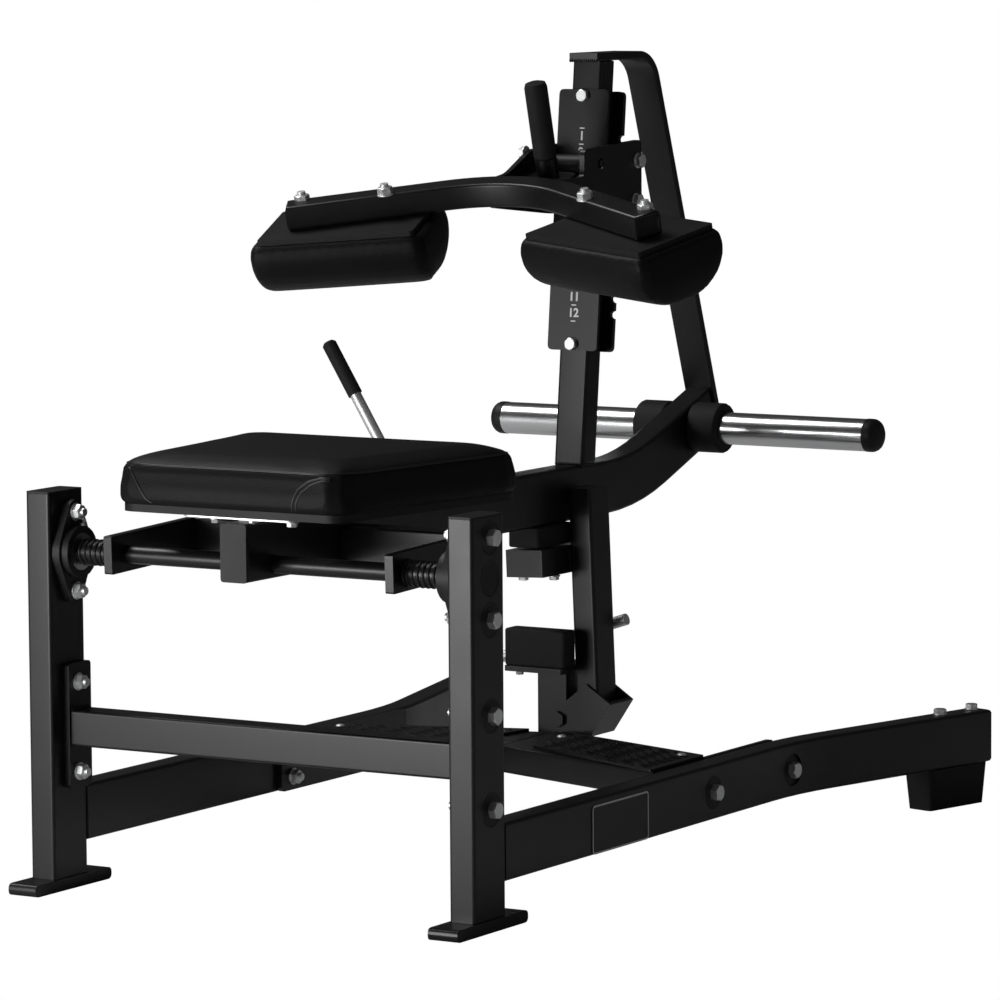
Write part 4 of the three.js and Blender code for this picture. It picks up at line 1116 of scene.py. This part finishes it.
@dataclass
class RailPlate:
    """The bare plate with a raised rim on the right rail."""

    paints: Paintbox
    rear_y: float = 308.0
    front_y: float = 463.0
    bottom_z: float = 63.5
    top_z: float = 131.5
    thickness: float = 1.2
    corner: float = 6.0
    rim: float = 2.6
    rim_wall: float = 0.4
    dip: float = 0.5
    face_x: float = 362.5
    smooth_degrees: float = 40.0

    def build(self) -> None:
        """Make the plate and its rim."""
        middle = spot(self.face_x + self.thickness / 2, (self.rear_y + self.front_y) / 2,
                      (self.bottom_z + self.top_z) / 2)
        size = (self.thickness * MM, (self.front_y - self.rear_y) * MM, (self.top_z - self.bottom_z) * MM)
        plate = primitive("cube", size=1)
        settle(plate, Matrix.Diagonal((*size, 1.0)))
        corners = plate.modifiers.new("corners", "BEVEL")
        corners.width = self.corner * MM
        corners.segments = 6
        corners.limit_method = "WEIGHT"
        weights = plate.data.attributes.new("bevel_weight_edge", "FLOAT", "EDGE")
        for edge in plate.data.edges:
            ends = [plate.data.vertices[index].co for index in edge.vertices]
            along_x = abs(ends[0].x - ends[1].x) > size[0] / 2
            weights.data[edge.index].value = 1.0 if along_x else 0.0
        apply_modifier(plate, corners.name)
        for face in plate.data.polygons:
            face.select = face.normal.x > FACING_SHARE
        with editing():
            inset(self.rim, 0.0)
            inset(self.rim_wall, -self.dip)
        settle(plate, Matrix.Translation(middle))
        plate.name = "rail_plate"
        soften(plate, self.smooth_degrees)
        dress(plate, self.paints["number_face"], "base")
        plate.data.materials.append(self.paints["bright_steel"])
        top = max(vertex.co.x for vertex in plate.data.vertices)
        for face in plate.data.polygons:
            if abs(face.center.x - top) < self.dip / 4 * MM and face.normal.x > FACING_SHARE:
                face.material_index = 1
        log.info("rail plate: %s", plate.name)


@dataclass
class Treads:
    """Raised lozenges on the two foot plates."""

    paints: Paintbox
    pitch: float = 21.0
    length: float = 15.0
    width: float = 5.0
    height: float = 1.3
    top_length_share: float = 0.62
    top_width_share: float = 0.45
    raised_share: float = 0.45
    turn_degrees: float = 45.0
    margin: float = 9.0
    corners: tuple[tuple[float, float], ...] = ((56, 660), (321, 545), (321, 700), (30, 799))

    def build(self) -> None:
        """Cover each plate with lozenges that alternate in direction."""
        xs, ys = zip(*self.corners)
        for side in Side:
            matrices = []
            row = 0
            y = min(ys)
            while y < max(ys):
                x = min(xs) + (self.pitch / 2 if row % 2 else 0)
                column = 0
                while x < max(xs):
                    if self._inside(x, y) and self._clear_of_screws(x, y):
                        way = side.value * (1 if (row + column) % 2 else -1)
                        turn = math.radians(self.turn_degrees) * way
                        place = spot(x * side.value, y, TREAD_TOP_Z + self.height * self.raised_share)
                        matrices.append(Matrix.Translation(place) @ Matrix.Rotation(turn, 4, "Z"))
                    x += self.pitch
                    column += 1
                y += self.pitch / 2
                row += 1
            name = f"tread_{SIDE_NAMES[side]}"
            whole = join(copies_at(self._lozenge(), name, matrices), name)
            dress(whole, self.paints["tread_black"], "base")
            log.info("%s: %d lozenges", name, len(matrices))

    def _inside(self, x: float, y: float) -> bool:
        """Return whether a lozenge here keeps its margin to the plate's edges."""
        for (ax, ay), (bx, by) in zip(self.corners, self.corners[1:] + self.corners[:1]):
            length = math.hypot(bx - ax, by - ay)
            if ((bx - ax) * (y - ay) - (by - ay) * (x - ax)) / length < self.margin:
                return False
        return True

    def _clear_of_screws(self, x: float, y: float) -> bool:
        """Return whether a lozenge here is clear of the plate's screws."""
        return all(math.hypot(x - sx, y - sy) > self.length for sx, sy in TREAD_SCREWS)

    def _lozenge(self) -> Object:
        """Model one lozenge that narrows towards its top."""
        made = primitive("cube", size=1)
        settle(made, Matrix.Diagonal((self.length * MM, self.width * MM, self.height * MM, 1.0)))
        for vertex in made.data.vertices:
            if vertex.co.z > 0:
                vertex.co.x *= self.top_length_share
                vertex.co.y *= self.top_width_share
        return made


@dataclass
class Welds:
    """Weld beads along the seams of the frame, and the ribs of the shaft's spacers."""

    paints: Paintbox
    radius: float = 2.6
    step: float = 3.2
    flattening: float = 0.8
    ripple: float = 0.1
    shaft_ring: float = 17.2
    shaft_gap: float = 1.2
    rib_ring: float = 16.2
    ribs: int = 7
    side_seams: tuple = (
        ("weld_mast", (21.2, 866.0, 535.2), (21.2, 900.0, 535.2), "arm"),
        ("weld_rail_rear", (323.4, 80.4, 66.0), (323.4, 80.4, 138.0), "base"),
        ("weld_crossbar", (312.2, 33.0, 253.2), (312.2, 72.0, 253.2), "base"),
        ("weld_side_plate", (236.0, 211.0, 464.0), (236.0, 211.0, 500.0), "arm"),
    )
    middle_seams: tuple = (
        ("weld_mast_rear", (-20.0, 862.4, 536.2), (20.0, 862.4, 536.2), "arm"),
        ("weld_strap_top", (-22.0, 913.6, 1131.6), (22.0, 913.6, 1131.6), "arm"),
    )
    catch_shares: tuple[float, ...] = (0.02, 0.98)
    catch_inset: float = 8.0

    def bead(self, name: str, start: Vector, end: Vector, body: str) -> None:
        """Lay one straight bead of overlapping ripples.

        Args:
            name: The bead's name.
            start: Where it starts.
            end: Where it ends.
            body: The body that it rides on.
        """
        run = end - start
        count = max(2, int(run.length / (self.step * MM)))
        first = primitive("uv_sphere", segments=10, ring_count=6, radius=self.radius * MM)
        settle(first, facing(run, Vector()) @ Matrix.Diagonal((1.0, 1.0, self.flattening, 1.0)))
        matrices = [Matrix.Translation(start + run * (index / count)) for index in range(count + 1)]
        whole = join(copies_at(first, name, matrices), name)
        shade_round(whole)
        dress(whole, self.paints["black_paint"], body)

    def ring(self, name: str, middle: Vector, radius: float) -> None:
        """Lay a bead round a bar of the arm that runs along X.

        Args:
            name: The bead's name.
            middle: The ring's middle.
            radius: The bar's radius in millimetres.
        """
        sides = 10
        made = primitive("torus", major_segments=48, minor_segments=sides, major_radius=radius * MM,
                         minor_radius=self.radius * MM)
        made.name = name
        for index, vertex in enumerate(made.data.vertices):
            vertex.co.z *= 1.0 + self.ripple * math.sin(index // sides * math.pi / 2)
        settle(made, facing(Vector((1, 0, 0)), middle))
        shade_round(made)
        dress(made, self.paints["black_paint"], "arm")

    def build(self) -> None:
        """Weld the mast's foot, the crossbar, the rails, the catch and the shaft."""
        for side in Side:
            mirror = Matrix.Diagonal((side.value, 1.0, 1.0))
            for label, start, end, body in self.side_seams:
                self.bead(f"{label}_{SIDE_NAMES[side]}", mirror @ spot(*start), mirror @ spot(*end), body)
            self._shaft(side)
        self._catch()
        for label, start, end, body in self.middle_seams:
            self.bead(label, spot(*start), spot(*end), body)
        log.info("welds laid")

    def _shaft(self, side: Side) -> None:
        """Weld the shaft to a side plate and put the ribs on its spacer."""
        name = SIDE_NAMES[side]
        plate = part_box(f"side_plate_{name}")
        middle = middle_of("pivot_shaft")
        middle.x = plate[1][0] if side is Side.RIGHT else plate[0][0]
        middle.x += side.value * self.shaft_gap * MM
        self.ring(f"weld_shaft_{name}", middle, self.shaft_ring)
        low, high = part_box(f"shaft_spacer_{name}")
        for index in range(self.ribs):
            x = low[0] + (high[0] - low[0]) * (index + 0.7) / (self.ribs + 0.4)
            self.ring(f"spacer_rib_{name}_{index}", Vector((x, middle.y, middle.z)), self.rib_ring)

    def _catch(self) -> None:
        """Weld the catch block to its post."""
        low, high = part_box("catch_post")
        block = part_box("catch_block")
        rise = Vector((-1.3, 0, 30)) * MM
        for index, share in enumerate(self.catch_shares):
            y = low[1] + (high[1] - low[1] - self.catch_inset * MM) * share
            start = Vector((block[1][0] - 0.5 * MM, y, block[0][2] + 6 * MM))
            self.bead(f"weld_catch_{index}", start, start + rise, "catch")


@dataclass
class Studio:
    """Floor, backdrop light, lamps and the camera at the photograph's viewing angle."""

    floor_size: float = 60.0
    floor_white: float = 0.86
    world_strength: float = 0.05
    target: Vector = Vector((0, 0, 0.5))
    lamps: tuple = (
        ("key", (-1.22, -3.4, 0.42), 1.3, 72.0),
        ("top", (-2.0, -0.3, 3.5), 1.6, 60.0),
        ("right", (4.5, 1.0, 2.2), 2.0, 6.0),
    )
    camera_place: tuple[float, ...] = (4093.7, -6070.1, 1351.0)
    yaw: float = 31.282
    pitch: float = 6.152
    roll: float = -0.384
    lens: float = 196.36
    sensor: float = 36.0
    far: float = 100.0

    def build(self) -> None:
        """Set the whole stage."""
        self._floor()
        self._world()
        for name, place, size, power in self.lamps:
            self._lamp(name, Vector(place), size, power)
        self._camera()
        bpy.context.scene.view_settings.view_transform = "Standard"
        log.info("studio set")

    def _floor(self) -> None:
        """Lay a pale floor that reads as white in the picture."""
        floor = primitive("plane", size=self.floor_size)
        floor.name = "studio_floor"
        material = bpy.data.materials.new("studio_floor")
        material.use_nodes = True
        tree = material.node_tree
        shader = tree.nodes["Principled BSDF"]
        shader.inputs["Base Color"].default_value = (*[self.floor_white] * 3, 1.0)
        shader.inputs["Roughness"].default_value = 0.9
        shader.inputs["Specular IOR Level"].default_value = 0.1
        glow = add_node(tree, "Emission", {"Color": WHITE, "Strength": 1.0})
        self._show_white(tree, shader, glow, tree.nodes["Material Output"])
        floor.data.materials.append(material)

    def _world(self) -> None:
        """Give the world a weak even light, and white where the camera sees it."""
        world = bpy.data.worlds.new("studio_world")
        bpy.context.scene.world = world
        world.use_nodes = True
        tree = world.node_tree
        glow = tree.nodes["Background"]
        glow.inputs["Color"].default_value = WHITE
        glow.inputs["Strength"].default_value = self.world_strength
        seen = add_node(tree, "Background", {"Color": WHITE, "Strength": 1.0})
        self._show_white(tree, glow, seen, tree.nodes["World Output"])

    @staticmethod
    def _show_white(tree: NodeTree, real: Node, white: Node, output: Node) -> None:
        """Show white to the camera and the real shader to every other ray.

        Args:
            tree: The node tree.
            real: The real shader.
            white: The white one.
            output: The tree's output.
        """
        path = add_node(tree, "LightPath")
        mix = add_node(tree, "MixShader")
        link = tree.links.new
        link(path.outputs["Is Camera Ray"], mix.inputs["Fac"])
        link(real.outputs[0], mix.inputs[1])
        link(white.outputs[0], mix.inputs[2])
        link(mix.outputs["Shader"], output.inputs["Surface"])

    def _lamp(self, name: str, place: Vector, size: float, power: float) -> None:
        """Add one soft square lamp that points at the machine.

        Args:
            name: The lamp's name.
            place: Where it stands.
            size: Edge length in metres.
            power: Power in watts.
        """
        data = bpy.data.lights.new(name, "AREA")
        data.shape = "SQUARE"
        data.size = size
        data.energy = power
        lamp = bpy.data.objects.new(name, data)
        lamp.matrix_world = facing(place - self.target, place)
        bpy.context.scene.collection.objects.link(lamp)

    def _camera(self) -> None:
        """Stand the camera where the photograph was taken from."""
        data = bpy.data.cameras.new("portrait")
        data.sensor_width = self.sensor
        data.lens = self.lens
        data.clip_end = self.far
        camera = bpy.data.objects.new("portrait", data)
        yaw, pitch, roll = (math.radians(angle) for angle in (self.yaw, self.pitch, self.roll))
        back = Vector((math.sin(yaw) * math.cos(pitch), -math.cos(yaw) * math.cos(pitch), math.sin(pitch)))
        level = Vector((math.cos(yaw), math.sin(yaw), 0.0))
        up = back.cross(level)
        right = level * math.cos(roll) + up * math.sin(roll)
        top = up * math.cos(roll) - level * math.sin(roll)
        turned = Matrix((right, top, back)).transposed().to_4x4()
        camera.matrix_world = Matrix.Translation(spot(*self.camera_place)) @ turned
        bpy.context.scene.collection.objects.link(camera)
        bpy.context.scene.camera = camera


def upholster(paints: Paintbox) -> None:
    """Make the seat and the two thigh pads, with their piping.

    Args:
        paints: The finishes.
    """
    seat = Upholstery("seat_cushion", DOWN, paints).build()
    Seams(paints).build(seat, "seat_cushion")
    for name in SIDE_NAMES.values():
        Upholstery(f"thigh_pad_{name}", YOKE_UP, paints).build()


def main() -> None:
    """Build the studio, the finishes and every piece in order."""
    logging.basicConfig(level=logging.INFO, format="%(name)s: %(message)s")
    bpy.context.tool_settings.mesh_select_mode = (False, False, True)
    Studio().build()
    paints = Paintbox()
    CadSkins(paints).build()
    upholster(paints)
    FrameFasteners(Fasteners(paints)).build()
    for group in (Numerals, EndPlugs, RailPlate, Treads, Welds):
        group(paints).build()


if __name__ == "__main__":
    main()
